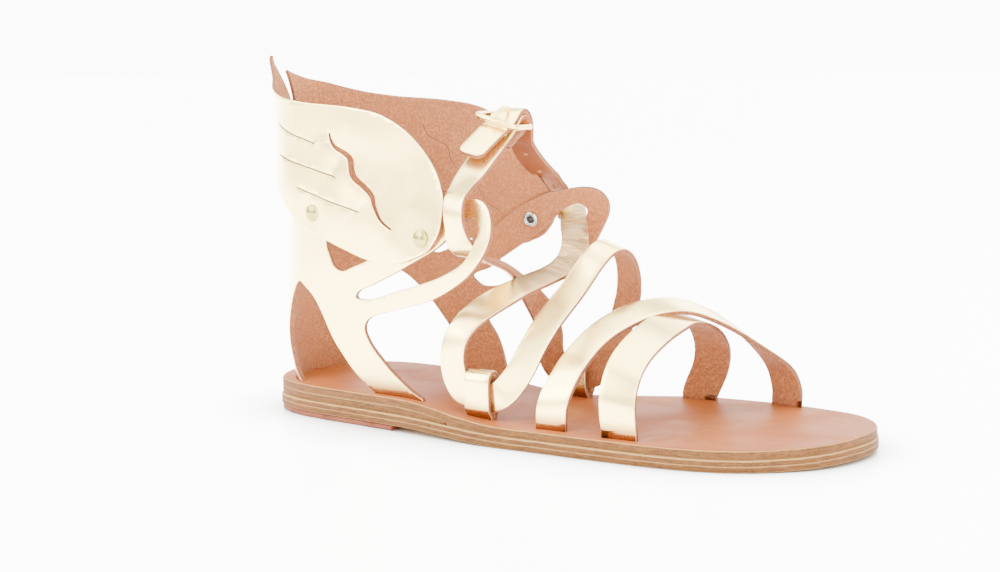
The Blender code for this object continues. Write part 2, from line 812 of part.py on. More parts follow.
def strap_solid(name, middles, widths, width, thickness, shader, parent):
    """A flat strap along a path. Its finished side faces the width crossed with the path."""
    points = []
    for index, middle in enumerate(middles):
        ahead = middles[min(index + 1, len(middles) - 1)]
        behind = middles[max(index - 1, 0)]
        along = (ahead - behind).normalized()
        across = widths[index] - along * widths[index].dot(along)
        across.normalize()
        face = across.cross(along)
        for side, depth in ((-1, -1), (1, -1), (1, 1), (-1, 1)):
            points.append(middle + across * side * width / 2 + face * depth * thickness / 2)
    faces = [(0, 1, 2, 3)]
    last = 4 * (len(middles) - 1)
    faces.append((last + 3, last + 2, last + 1, last))
    for start in range(0, last, 4):
        for k in range(4):
            following = (k + 1) % 4
            faces.append((start + k, start + following, start + 4 + following, start + 4 + k))
    return add_object(name, mesh_from(name, points, faces), shader, parent)


def foot_cutter(middle_low, middle_high, width_direction, width, thickness, parent, shader):
    """A slot in the insole for a strap's foot, wider than the foot by the clearance."""
    reach = (middle_high - middle_low).normalized() * LAYER_GAP
    return strap_solid(
        "slot", [middle_low - reach * 3, middle_high + reach * 3], [width_direction] * 2,
        width + 2 * CLEARANCE, thickness + 2 * CLEARANCE, shader, parent,
    )


def toe_straps(leather, insole, parent):
    """The two toe straps, joined where one crosses the other."""
    cutters = []
    solids = []
    for name, rows, wide in (
        ("toe_straps", OVER_STRAP, OVER_STRAP_WIDTH), ("under_strap", UNDER_STRAP, UNDER_STRAP_WIDTH)
    ):
        middles, widths = strap_path(rows, insole_bottom)
        solids.append(strap_solid(name, middles, widths, wide, STRAP_THICKNESS, leather, parent))
        for low, high, direction in ((middles[0], middles[1], widths[0]),
                                     (middles[-1], middles[-2], widths[-1])):
            cutters.append(foot_cutter(low, high, direction, wide, STRAP_THICKNESS, parent, leather))
    cut(insole, cutters)
    join(solids[0], solids[1])
    return solids[0]


def sole_loop(name, along, across, leather, insole, parent):
    """A strip folded double into a teardrop, through which the lacing strap passes."""
    x = along * SOLE_LENGTH
    y = across * BALL_WIDTH
    floor = insole_bottom(x)
    top = insole_top(x) + SOLE_LOOP_HEIGHT
    room = STRAP_THICKNESS + 2 * SOLE_LOOP_EASE
    half_gap = room / 2 + STRAP_THICKNESS / 2
    closed_gap = STRAP_THICKNESS / 2 + CLEARANCE / 2
    waist = insole_top(x) + 0.04 * SOLE_LOOP_HEIGHT
    shoulder = insole_top(x) + 0.12 * SOLE_LOOP_HEIGHT
    side = [
        Vector((x, closed_gap, floor)),
        Vector((x, closed_gap, waist)),
        Vector((x, half_gap, shoulder)),
        Vector((x, half_gap, top - half_gap)),
    ]
    arc = [
        Vector((x, half_gap * math.cos(turn), top - half_gap + half_gap * math.sin(turn)))
        for turn in (math.pi * k / 8 for k in range(1, 8))
    ]
    back = [Vector((x, -point.y, point.z)) for point in reversed(side)]
    middles = [point + Vector((0.0, y, 0.0)) for point in side + arc + back]
    widths = [Vector((1.0, 0.0, 0.0))] * len(middles)
    slot_low = Vector((x, y, floor))
    slot_high = Vector((x, y, insole_top(x)))
    slot_depth = 2 * STRAP_THICKNESS + CLEARANCE
    cutter = foot_cutter(slot_low, slot_high, Vector((1, 0, 0)), SOLE_LOOP_WIDTH, slot_depth, parent, leather)
    cut(insole, [cutter])
    return strap_solid(name, middles, widths, SOLE_LOOP_WIDTH, STRAP_THICKNESS, leather, parent)


def harness_slots(insole, leather, parent):
    """Slots in the insole for the back strip and for the legs of the harness."""
    cutters = []
    low = insole_bottom(0.0) - 2 * MM
    high = insole_top(0.0) + 1.0 * MM
    thickness = HARNESS_THICKNESS + 2 * CLEARANCE
    back = REAR_OPENING[0][0] * HARNESS_REACH + CLEARANCE
    feet = [(-back, back)]
    for side in (-1.0, 1.0):
        rear = one_side(REAR_OPENING, side)[-1][0] * HARNESS_REACH - CLEARANCE
        front = one_side(LEG_AND_EYE, side)[0][0] * HARNESS_REACH + CLEARANCE
        feet.append((min(side * rear, side * front), max(side * rear, side * front)))
    for start, end in feet:
        outline = [(start, low), (end, low), (end, high), (start, high)]
        cutters.append(bend_plate("slot", outline, [], harness_form, thickness, leather, parent))
    cut(insole, cutters)


def rod(name, middles, radius, closed, shader, parent, count=8):
    """A round rod along a path that stays in one upright plane or is a flat ring."""
    points = []
    last = len(middles) - 1
    normal = (middles[1] - middles[0]).cross(middles[last // 2] - middles[0])
    if normal.length < 1e-9:
        normal = Vector((1.0, 0.0, 0.0))
    normal.normalize()
    for index, middle in enumerate(middles):
        ahead = middles[(index + 1) % len(middles)] if closed else middles[min(index + 1, last)]
        behind = middles[index - 1] if closed else middles[max(index - 1, 0)]
        along = (ahead - behind).normalized()
        side = along.cross(normal).normalized()
        for k in range(count):
            angle = 2 * math.pi * k / count
            points.append(middle + normal * radius * math.cos(angle) + side * radius * math.sin(angle))
    faces = []
    spans = len(middles) if closed else last
    for row in range(spans):
        following_row = (row + 1) % len(middles)
        for k in range(count):
            following = (k + 1) % count
            faces.append((row * count + k, row * count + following,
                          following_row * count + following, following_row * count + k))
    if not closed:
        faces.append(tuple(range(count)))
        faces.append(tuple(last * count + k for k in range(count)))
    return add_object(name, mesh_from(name, points, faces), shader, parent)


def buckle_axes():
    """The bar's place, its direction towards the toe, and the frame's direction from the bar."""
    front = math.radians(BUCKLE_FRONT_DIP)
    rest = math.radians(BUCKLE_REST_DIP)
    bar = Vector((math.cos(front), 0.0, -math.sin(front)))
    reach = Vector((0.0, -math.cos(rest), -math.sin(rest)))
    return on_foot(*BUCKLE_BAR), bar, reach


def buckle_frame(brass, parent):
    """A rounded frame; the strap is folded round its far rod."""
    place, bar, reach = buckle_axes()
    half = BUCKLE_WIDTH / 2
    corner = BUCKLE_ROD * 1.4
    middles = []
    for side, way, start in ((1, 0, -90), (1, 1, 0), (-1, 1, 90), (-1, 0, 180)):
        centre = bar * side * (half - corner)
        centre += reach * (BUCKLE_LENGTH - corner if way else corner)
        for turn in (0, 22.5, 45, 67.5, 90):
            angle = math.radians(start + turn)
            middles.append(place + centre + (bar * math.cos(angle) + reach * math.sin(angle)) * corner)
    return rod("buckle_frame", middles, BUCKLE_ROD / 2, True, brass, parent)


def prong_path():
    """From above the bar, up through the strap and down on the frame's near rod."""
    place, bar, reach = buckle_axes()
    slope = math.radians(STRAP_SLOPE)
    lift = Vector((0.0, -math.sin(slope), math.cos(slope)))
    rest = BUCKLE_ROD / 2 + CLEARANCE + PRONG_RADIUS
    over = STRAP_THICKNESS * 2 + BUCKLE_ROD / 2 + CLEARANCE * 3
    points = [
        place + lift * rest,
        place + lift * over + reach * 0.8 * MM,
        place + lift * over + reach * 5.0 * MM - Vector((0, 0, 0.2 * MM)),
        place + reach * BUCKLE_LENGTH * 0.8 + Vector((0, 0, rest + 0.7 * MM)),
        place + reach * (BUCKLE_LENGTH + 1.2 * MM) + Vector((0, 0, rest)),
    ]
    return smooth_curve(points, SMOOTH_STEPS, False)


def lacing_strap(leather, brass, parent):
    """The lacing strap with its punched holes, the buckle's prong and the small rivet."""
    middles, widths = strap_path(LACE_STRAP, insole_bottom)
    strap = strap_solid("lacing_strap", middles, widths, LACE_WIDTH, STRAP_THICKNESS, leather, parent)
    rod("buckle_prong", prong_path(), PRONG_RADIUS, False, brass, parent)
    cutters = [rod("slot", prong_path(), PRONG_RADIUS + CLEARANCE, False, brass, parent)]
    for row in PUNCH_ROWS:
        place = on_foot(*row)
        nearest = min(range(len(middles)), key=lambda k: (middles[k] - place).length)
        along = middles[nearest + 1] - middles[nearest - 1]
        face = widths[nearest].cross(along).normalized()
        reach = face * STRAP_THICKNESS * 1.2
        hole = [middles[nearest] - reach, middles[nearest] + reach]
        cutters.append(rod("hole", hole, PUNCH_HOLE_RADIUS, False, brass, parent))
    place, bar, _ = buckle_axes()
    slope = math.radians(STRAP_SLOPE)
    down = Vector((0.0, -math.cos(slope), -math.sin(slope)))
    lift = Vector((0.0, -math.sin(slope), math.cos(slope)))
    site = place + down * STRAP_RIVET_ALONG + bar * STRAP_RIVET_ASIDE
    half = STRAP_THICKNESS + CLEARANCE * 2.5
    cutters.append(rod("hole", [site - lift * 3 * half, site + lift * half * 1.15],
                       STRAP_RIVET_RADIUS + CLEARANCE, False, brass, parent))
    cut(strap, cutters)
    profile = (
        (STRAP_RIVET_RADIUS, half + STRAP_RIVET_HEAD),
        (STRAP_RIVET_RADIUS * 2, half + STRAP_RIVET_HEAD * 0.6),
        (STRAP_RIVET_RADIUS * 2, half),
        (STRAP_RIVET_RADIUS, half),
        (STRAP_RIVET_RADIUS, -half - CLEARANCE),
        (STRAP_RIVET_RADIUS * 2, -half - CLEARANCE),
        (STRAP_RIVET_RADIUS * 2, -half - CLEARANCE - STRAP_RIVET_HEAD * 0.6),
        (STRAP_RIVET_RADIUS, -half - CLEARANCE - STRAP_RIVET_HEAD),
    )
    turned("strap_rivet", profile, site, lift, brass, parent, count=12)


def main():
    for old in list(bpy.data.objects):
        bpy.data.objects.remove(old, do_unlink=True)
    gold = material("gold_leather", (0.86, 0.76, 0.55), 0.28, 0.9)
    tan = material("insole_leather", (0.72, 0.42, 0.26), 0.35, 0.0)
    stacked = material("sole_leather", (0.60, 0.40, 0.23), 0.6, 0.0)
    rubber = material("heel_rubber", (0.45, 0.16, 0.10), 0.7, 0.0)
    brass = material("brass", (0.85, 0.72, 0.40), 0.25, 1.0)

    sandal = bpy.data.objects.new("sandal", None)
    bpy.context.scene.collection.objects.link(sandal)

    def outsole_top(x):
        return ground_rise(x) + OUTSOLE_THICKNESS

    sole_layer("outsole", ground_rise, outsole_top, OUTSOLE_EDGE_STEP, stacked, sandal)
    insole = sole_layer("insole", insole_bottom, insole_top, 0.0, tan, sandal)
    wedge = sole_layer(
        "heel_wedge", lambda x: outsole_top(x) + LAYER_GAP,
        lambda x: max(insole_bottom(x) - LAYER_GAP, outsole_top(x) + LAYER_GAP + 2 * RIM_CHAMFER),
        0.0, stacked, sandal,
    )
    keep_part(wedge, Vector((wedge_front(), 0, 0)), Vector((1, 0, 0)))
    lift = sole_layer(
        "heel_lift", lambda x: 0.0, lambda x: HEEL_LIFT_THICKNESS, 0.0, rubber, sandal
    )
    keep_part(lift, Vector((HEEL_BREAST * SOLE_LENGTH, 0, 0)), Vector((1, 0, 0)))

    harness_slots(insole, gold, sandal)
    harness(gold, sandal)
    for name, side in (("lateral", -1.0), ("medial", 1.0)):
        wing("wing_" + name, side, gold, sandal)
        for site in rivet_sites(side):
            rivet("rivet_" + site[0] + "_" + name, site[1], site[2], brass, sandal)
    toe_straps(gold, insole, sandal)
    for name, along, across in SOLE_LOOPS:
        sole_loop(name, along, across, gold, insole, sandal)
    lacing_strap(gold, brass, sandal)
    buckle_frame(brass, sandal)
    place_origin(sandal)


def wedge_front():
    """Where the wedge has tapered to a thin edge."""
    x = WEDGE_FULL_TO * SOLE_LENGTH
    while insole_bottom(x) - ground_rise(x) - OUTSOLE_THICKNESS - 2 * LAYER_GAP > 2 * RIM_CHAMFER:
        x += 0.5 * MM
    return x


def place_origin(parent):
    """Moves the whole sandal so that its origin is the middle of its box, at the floor."""
    bpy.context.view_layer.update()
    places = [
        child.matrix_world @ Vector(corner)
        for child in parent.children
        for corner in child.bound_box
    ]
    for axis in (0, 1):
        low = min(place[axis] for place in places)
        high = max(place[axis] for place in places)
        parent.location[axis] = -(low + high) / 2


main()
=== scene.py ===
# Looks of the winged gladiator sandal. Lengths are metres. Until finish_piece() moves it to the
# frame, every piece is built in the shoe's own axes: X from the heel's back to the toe tip, -Y the
# outer (lateral) side, +Y the inner (medial) side, and the floor at Z = 0.
import math

import bmesh
import bpy
from mathutils import Matrix, Vector, noise


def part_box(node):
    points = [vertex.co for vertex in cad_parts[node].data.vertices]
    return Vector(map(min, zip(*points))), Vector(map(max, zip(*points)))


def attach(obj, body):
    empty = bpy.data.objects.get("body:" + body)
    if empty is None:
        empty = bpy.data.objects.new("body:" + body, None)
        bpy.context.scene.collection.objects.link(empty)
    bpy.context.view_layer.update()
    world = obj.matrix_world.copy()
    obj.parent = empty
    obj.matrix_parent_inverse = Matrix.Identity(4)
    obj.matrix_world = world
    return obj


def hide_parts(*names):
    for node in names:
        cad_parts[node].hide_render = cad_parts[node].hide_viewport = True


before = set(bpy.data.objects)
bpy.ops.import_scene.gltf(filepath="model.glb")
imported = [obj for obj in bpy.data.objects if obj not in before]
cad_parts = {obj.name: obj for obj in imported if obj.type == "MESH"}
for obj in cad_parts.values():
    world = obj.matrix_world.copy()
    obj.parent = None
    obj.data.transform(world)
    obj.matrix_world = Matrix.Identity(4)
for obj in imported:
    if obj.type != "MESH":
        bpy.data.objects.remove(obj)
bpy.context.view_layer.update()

MM = 0.001

# Sole
SOLE_LENGTH = 248.5 * MM
BALL_WIDTH = 88.0 * MM
INSOLE_THICKNESS = 3.0 * MM
OUTSOLE_THICKNESS = 4.4 * MM
HEEL_WEDGE_THICKNESS = 2.7 * MM
HEEL_LIFT_THICKNESS = 2.0 * MM
TOE_SPRING = 1.5 * MM
OUTSOLE_EDGE_STEP = 0.5 * MM
RIM_CHAMFER = 0.6 * MM
LAYER_GAP = 0.3 * MM
HEEL_BREAST = 0.29
ARCH_END = 0.53
WEDGE_FULL_TO = 0.30
WEDGE_END = 0.50
TOE_SPRING_START = 0.86

# Leather of the upper
HARNESS_THICKNESS = 2.0 * MM
WING_THICKNESS = 1.8 * MM
STRAP_THICKNESS = 1.8 * MM
CLEARANCE = 0.3 * MM
WING_EASE = 0.1 * MM
ANKLE_HEIGHT = 140.0 * MM
HARNESS_REACH = 134.0 * MM
WING_SHARE = 0.873
WING_REACH = WING_SHARE * HARNESS_REACH
OVER_STRAP_WIDTH = 12.5 * MM
UNDER_STRAP_WIDTH = 14.0 * MM
LACE_WIDTH = 10.5 * MM
SOLE_LOOP_WIDTH = 10.6 * MM
SOLE_LOOP_HEIGHT = 17.0 * MM
SOLE_LOOP_EASE = 1.5 * MM
LOOP_WAIST = 0.04 * SOLE_LOOP_HEIGHT
LOOP_SHOULDER = 0.16 * SOLE_LOOP_HEIGHT
LOOP_STEP = 0.7 * MM
INSTEP_HEIGHT = 120.0 * MM

# Hardware
RIVET_CAP_RADIUS = 3.4 * MM
RIVET_CAP_HEIGHT = 1.5 * MM
RIVET_SHANK_RADIUS = 1.5 * MM
RIVET_TUBE_RADIUS = 0.9 * MM
RIVET_RING_RADIUS = 3.1 * MM
RIVET_SEAT_DEPTH = 0.35 * MM
BUCKLE_WIDTH = 18.0 * MM
BUCKLE_LENGTH = 13.0 * MM
BUCKLE_ROD = 2.2 * MM
PRONG_RADIUS = 0.8 * MM
STRAP_RIVET_RADIUS = 0.9 * MM
STRAP_RIVET_HEAD = 0.6 * MM
PUNCH_HOLE_RADIUS = 1.1 * MM

# Widths of the sole: share of its length, then shares of the ball width to either side.
SOLE_ROWS = (
    # along, lateral, medial
    (0.000, 0.000, 0.000),
    (0.024, 0.190, 0.195),
    (0.072, 0.285, 0.310),
    (0.141, 0.332, 0.368),
    (0.238, 0.368, 0.352),
    (0.359, 0.415, 0.284),
    (0.459, 0.452, 0.296),
    (0.560, 0.458, 0.398),
    (0.660, 0.466, 0.514),
    (0.761, 0.464, 0.540),
    (0.850, 0.420, 0.522),
    (0.926, 0.302, 0.455),
    (0.978, 0.140, 0.300),
    (1.000, -0.095, 0.095),
)

# Form of the ankle in level cuts: a round back and two straight sides that open forwards.
# Heights, back and radius are shares of the ankle height; the splay is in degrees.
HARNESS_FORM = (
    # height, back, radius, splay
    (0.043, 0.061, 0.171, 6.0),
    (0.100, 0.057, 0.175, 6.5),
    (0.214, 0.039, 0.207, 8.0),
    (0.364, 0.057, 0.214, 8.5),
    (0.493, 0.068, 0.218, 8.5),
    (0.636, 0.071, 0.209, 6.5),
    (0.750, 0.071, 0.199, 5.0),
    (1.000, 0.071, 0.191, 4.5),
)
# The wings stand off the harness at the back: only their back line differs.
WING_BACK = (
    # height, back
    (0.429, 0.052),
    (0.493, 0.051),
    (0.636, 0.025),
    (0.750, 0.029),
    (0.864, 0.029),
    (0.929, 0.018),
    (1.000, -0.025),
)

# Half of the harness laid flat, from the seam line at the back round to the eye at the front.
# Each run is one smooth edge; runs meet at corners. Around is a share of the harness reach,
# height a share of the ankle height. A height of None stands for the foot that enters the sole.
REAR_OPENING = (
    # lateral around, height, medial around, height
    (0.194, None, 0.194, None),
    (0.194, 0.095, 0.194, 0.095),
    (0.161, 0.132, 0.161, 0.132),
    (0.154, 0.186, 0.154, 0.186),
    (0.164, 0.257, 0.164, 0.257),
    (0.194, 0.321, 0.194, 0.321),
    (0.230, 0.371, 0.230, 0.371),
    (0.256, 0.389, 0.258, 0.389),
    (0.284, 0.379, 0.299, 0.379),
    (0.321, 0.355, 0.351, 0.354),
    (0.353, 0.318, 0.403, 0.314),
    (0.382, 0.275, 0.444, 0.275),
    (0.410, 0.232, 0.478, 0.236),
    (0.433, 0.196, 0.507, 0.196),
    (0.452, 0.157, 0.526, 0.157),
    (0.478, 0.121, 0.530, 0.121),
    (0.507, 0.095, 0.530, 0.095),
    (0.507, None, 0.530, None),
)
LEG_AND_EYE = (
    # lateral around, height, medial around, height
    (0.687, None, 0.679, None),
    (0.687, 0.095, 0.679, 0.095),
    (0.649, 0.118, 0.675, 0.125),
    (0.612, 0.157, 0.668, 0.164),
    (0.582, 0.200, 0.654, 0.200),
    (0.552, 0.241, 0.631, 0.232),
    (0.535, 0.279, 0.612, 0.268),
    (0.552, 0.307, 0.623, 0.300),
    (0.604, 0.325, 0.660, 0.305),
    (0.672, 0.343, 0.701, 0.318),
    (0.761, 0.366, 0.761, 0.332),
    (0.828, 0.393, 0.828, 0.358),
    (0.892, 0.429, 0.892, 0.398),
    (0.933, 0.461, 0.940, 0.448),
    (0.966, 0.500, 0.978, 0.510),
    (0.984, 0.543, 1.003, 0.564),
    (0.982, 0.586, 0.996, 0.604),
    (0.963, 0.625, 0.963, 0.629),
    (0.929, 0.645, 0.910, 0.633),
    (0.873, 0.643, 0.836, 0.620),
    (0.821, 0.625, 0.806, 0.614),
    (0.761, 0.604, 0.761, 0.596),
    (0.701, 0.564, 0.701, 0.564),
    (0.627, 0.511, 0.627, 0.511),
    (0.545, 0.468, 0.545, 0.468),
    (0.478, 0.443, 0.478, 0.443),
    (0.440, 0.430, 0.440, 0.430),
    (0.409, 0.440, 0.409, 0.440),
    (0.388, 0.471, 0.388, 0.471),
    (0.373, 0.507, 0.373, 0.507),
    (0.378, 0.571, 0.378, 0.571),
    (0.418, 0.630, 0.418, 0.630),
    (0.425, 0.700, 0.425, 0.700),
)
EYE_HOLE = (
    # lateral around, height, medial around, height
    (0.500, 0.359, 0.567, 0.361),
    (0.560, 0.361, 0.604, 0.338),
    (0.642, 0.386, 0.657, 0.342),
    (0.731, 0.411, 0.731, 0.370),
    (0.799, 0.432, 0.799, 0.401),
    (0.851, 0.454, 0.851, 0.434),
    (0.896, 0.479, 0.896, 0.482),
    (0.925, 0.514, 0.925, 0.539),
    (0.940, 0.557, 0.933, 0.571),
    (0.929, 0.593, 0.903, 0.586),
    (0.896, 0.596, 0.854, 0.566),
    (0.858, 0.564, 0.825, 0.539),
    (0.799, 0.514, 0.787, 0.507),
    (0.701, 0.464, 0.716, 0.459),
    (0.642, 0.436, 0.657, 0.420),
    (0.560, 0.400, 0.616, 0.389),
    (0.507, 0.379, 0.575, 0.374),
)

# One wing laid flat: its upright back edge, then the rest of its outline from below the back
# edge round the front to the tip. Around is a share of the wing reach.
WING_BACK_EDGE = (
    # around, height
    (0.020, 0.993),
    (0.008, 0.907),
    (0.008, 0.800),
)
WING_EDGE = (
    # around, height
    (0.008, 0.800),
    (0.054, 0.745),
    (0.128, 0.697),
    (0.205, 0.650),
    (0.265, 0.611),
    (0.331, 0.571),
    (0.378, 0.541),
    (0.483, 0.514),
    (0.562, 0.493),
    (0.674, 0.469),
    (0.793, 0.467),
    (0.911, 0.500),
    (0.956, 0.531),
    (0.982, 0.562),
    (0.996, 0.601),
    (1.000, 0.639),
    (0.983, 0.678),
    (0.956, 0.714),
    (0.915, 0.753),
    (0.870, 0.789),
    (0.818, 0.821),
    (0.758, 0.847),
    (0.690, 0.866),
    (0.574, 0.879),
    (0.482, 0.884),
    (0.391, 0.889),
    (0.291, 0.901),
    (0.197, 0.921),
    (0.111, 0.945),
    (0.060, 0.970),
    (0.020, 0.993),
)
RIVET_PLACES = (
    # name, around, height
    ("front", 0.902, 0.539),
    ("rear", 0.428, 0.586),
)

# Strap routes. Along is a share of the sole length, across a share of the ball width and height
# a share of the instep height. Heading and dip, in degrees, aim the strap's width: its finished
# side is the width crossed with the route's direction. A height of None stands for a foot that
# ends inside the sole.
OVER_STRAP = (
    # along, across, height, heading, dip
    (0.577, -0.386, None, 0, 0),
    (0.577, -0.386, 0.085, 0, 0),
    (0.580, -0.388, 0.140, -2, 0),
    (0.588, -0.358, 0.198, -8, -4),
    (0.598, -0.290, 0.262, -17, -12),
    (0.616, -0.185, 0.330, -28, -18),
    (0.640, -0.070, 0.374, -34, -20),
    (0.668, 0.045, 0.397, -37, -18),
    (0.700, 0.150, 0.394, -37, -16),
    (0.736, 0.272, 0.346, -34, -18),
    (0.767, 0.385, 0.275, -27, -16),
    (0.797, 0.480, 0.190, -14, -8),
    (0.808, 0.500, 0.120, -6, 0),
    (0.808, 0.500, 0.085, -5, 0),
    (0.808, 0.500, None, -5, 0),
)
UNDER_STRAP = (
    # along, across, height, heading, dip
    (0.694, -0.409, None, 0, 0),
    (0.694, -0.409, 0.085, 0, 0),
    (0.693, -0.416, 0.125, 2, 0),
    (0.692, -0.411, 0.190, 4, -4),
    (0.692, -0.360, 0.256, 4, -10),
    (0.695, -0.280, 0.306, 2, -14),
    (0.700, -0.150, 0.347, 0, -16),
    (0.702, -0.030, 0.367, 0, -16),
    (0.702, 0.080, 0.373, 0, -14),
    (0.703, 0.210, 0.352, 2, -14),
    (0.704, 0.320, 0.308, 6, -12),
    (0.699, 0.410, 0.240, 10, -8),
    (0.687, 0.456, 0.170, 10, -2),
    (0.673, 0.462, 0.110, 8, 0),
    (0.668, 0.460, 0.082, 8, 0),
    (0.666, 0.460, None, 8, 0),
)
# The lacing strap starts folded round the buckle's bar, runs down the outer side through the
# lateral eye, across to the medial sole loop, back over the instep to the lateral sole loop and
# up again through the medial eye to the buckle.
LACE_STRAP = (
    # along, across, height, heading, dip
    (0.429, -0.102, 0.9, 180, 15),
    (0.43, -0.035, 0.932, 180, 16),
    (0.43, 0.012, 0.947, 180, 16),
    (0.43, 0.05, 0.97, 180, 16),
    (0.43, 0.045, 0.986, 180, 16),
    (0.43, 0.027, 0.994, 180, 16),
    (0.43, 0.0, 0.986, 180, 16),
    (0.43, -0.051, 0.949, 180, 15),
    (0.43, -0.116, 0.916, 181, 14),
    (0.431, -0.227, 0.866, 183, 11),
    (0.433, -0.33, 0.82, 184, 8),
    (0.435, -0.415, 0.782, 162, 4),
    (0.438, -0.475, 0.75, 162, 2),
    (0.441, -0.498, 0.705, 162, -2),
    (0.4425, -0.488, 0.662, 162, -8),
    (0.4430, -0.460, 0.615, 175, -16),
    (0.452, -0.4, 0.576, 172, 6),
    (0.4516, -0.277, 0.551, 170, 14),
    (0.4432, -0.125, 0.517, 160, 24),
    (0.4392, -0.011, 0.471, 134, 34),
    (0.4486, 0.058, 0.413, 96, 36),
    (0.458, 0.114, 0.354, 64, 30),
    (0.454, 0.190, 0.281, 34, 18),
    (0.443, 0.243, 0.222, 10, 20),
    (0.449, 0.268, 0.152, 0, 56),
    (0.487, 0.274, 0.130, 0, 90),
    (0.519, 0.278, 0.147, 0, 118),
    (0.542, 0.290, 0.215, 0, 144),
    (0.567, 0.297, 0.350, -2, 160),
    (0.579, 0.280, 0.427, -5, 168),
    (0.586, 0.235, 0.507, -8, 168),
    (0.589, 0.155, 0.567, -10, 165),
    (0.583, 0.075, 0.582, -10, 162),
    (0.571, 0.010, 0.545, -10, 160),
    (0.549, -0.058, 0.455, -9, 158),
    (0.526, -0.135, 0.372, -7, 156),
    (0.511, -0.215, 0.288, -4, 153),
    (0.500, -0.282, 0.208, -2, 138),
    (0.479, -0.340, 0.144, 0, 106),
    (0.449, -0.347, 0.130, 0, 88),
    (0.417, -0.353, 0.148, 0, 60),
    (0.402, -0.359, 0.214, 0, 20),
    (0.403, -0.358, 0.290, -4, -6),
    (0.416, -0.338, 0.350, -10, -20),
    (0.436, -0.308, 0.394, -16, -30),
    (0.457, -0.250, 0.430, -21, -34),
    (0.481, -0.155, 0.466, -22, -24),
    (0.494, -0.040, 0.485, -18, -19),
    (0.505, 0.068, 0.508, -8, -16),
    (0.502, 0.165, 0.537, 6, -18),
    (0.489, 0.255, 0.573, 22, -22),
    (0.4674, 0.352, 0.6, 27, -6),
    (0.4529, 0.418, 0.621, 26, 0),
    (0.442, 0.468, 0.643, 28, 6),
    (0.429, 0.518, 0.664, 56, 8),
    (0.4172, 0.539, 0.689, 116, 2),
    (0.4076, 0.523, 0.719, 160, -4),
    (0.3996, 0.477, 0.755, 169, -8),
    (0.3966, 0.409, 0.79, 174, -10),
    (0.3982, 0.33, 0.826, 176, -8),
    (0.4062, 0.239, 0.862, 176, -3),
    (0.416, 0.153, 0.898, 178, 5),
    (0.426, 0.105, 0.911, 180, 8),
    (0.429, 0.092, 0.95, 180, 4),
    (0.4305, 0.073, 0.984, 180, 0),
    (0.4305, 0.035, 1.004, 180, 0),
    (0.4305, -0.007, 0.999, 180, 4),
    (0.4295, -0.055, 0.969, 180, 10),
    (0.4285, -0.119, 0.952, 180, 15),
    (0.427, -0.182, 0.928, 181, 14),
    (0.4245, -0.244, 0.902, 184, 12),
    (0.4225, -0.295, 0.879, 186, 11),
)
SOLE_LOOPS = (
    # name, along, across
    ("sole_loop_lateral", 0.449, -0.347),
    ("sole_loop_medial", 0.488, 0.274),
)
# Where the lacing strap's buckle end is punched.
PUNCH_ROWS = (
    # along, across, height
    (0.4040, 0.244, 0.859),
    (0.3958, 0.400, 0.794),
    (0.4024, 0.503, 0.737),
)
# The buckle's bar, round which the lacing strap's end is folded, and how it leans.
BUCKLE_BAR = (0.4300, 0.023, 0.974)
BUCKLE_FRONT_DIP = 16.0
BUCKLE_REST_DIP = -1.0
STRAP_SLOPE = 33.5
STRAP_RIVET_ALONG = 10.5 * MM
STRAP_RIVET_ASIDE = 2.4 * MM

# Steps of curves
PRONG_STEPS = 3
PLATE_STEPS = 6
RIM_STEPS = 9
ROUTE_STEPS = 10
ROUTE_PASSES = 10
ROUND_STEPS = 28

# How the leather is finished
PLATE_CELL = 2.0 * MM
EDGE_ROUND = 0.35 * MM
STRAP_CROWN = 0.12 * MM
STRAP_WANDER = 0.12 * MM
CLOSED_SLIT_WIDTH = 0.12 * MM
WAVY_SLIT_WIDTH = 1.5 * MM
WAVY_SLIT_LIFT = 1.8 * MM
WAVY_SLIT_REACH = 9.0 * MM
WAVY_FRONT_SHARE = -0.15
WAVY_BACK_SHARE = 0.85
TAB_CORNER = 3.2 * MM
OVER_STRAP_RISE = 0.9 * MM
TIP_FLARE = 3.0 * MM
TIP_RISE = 3.2 * MM
TIP_DROP = 3.4 * MM
TIP_REACH = 15.0 * MM
TIP_START = 108.0 * MM
TIP_TOP = 138.0 * MM
TIP_BLEND = 1.3 * TIP_REACH
TIP_PULL = 0.4 * TIP_DROP
SMOOTH_BACK_ROWS = (54.6, 63.0)
# How the far wing's front is lowered: past a height, by how much, and from where to where round.
FAR_TOP = (84 * MM, 9 * MM, 93 * MM, 101 * MM)
FAR_LOW = (80 * MM, 2.6 * MM, 84 * MM, 100 * MM)

# Rims of the sole's layers, and how far layers that touch are pressed or kept apart
SOLE_RIM_ROUND = 0.7 * MM
SOLE_MIDDLE = 120 * MM
LAYER_PRESS = 0.12 * MM
GLUE_LINE = 0.1 * MM

# Cuts in each wing, laid flat, in millimetres round from the back and up from the floor.
FEATHER_SLITS = (
    ((25.6, 116.1), (35.3, 113.1), (42.6, 111.0), (50.8, 108.8)),
    ((28.4, 103.7), (38.6, 101.5), (51.5, 98.7), (63.2, 96.2)),
    ((42.8, 91.5), (59.9, 86.9), (75.3, 83.7)),
)
WAVY_SLIT = (
    (58.6, 113.1), (59.5, 110.3), (62.0, 107.6), (66.7, 105.6), (70.0, 103.4), (71.1, 99.3),
    (73.0, 96.2), (78.6, 92.8), (82.2, 89.8), (83.4, 86.2), (86.3, 81.1), (91.3, 77.8),
)
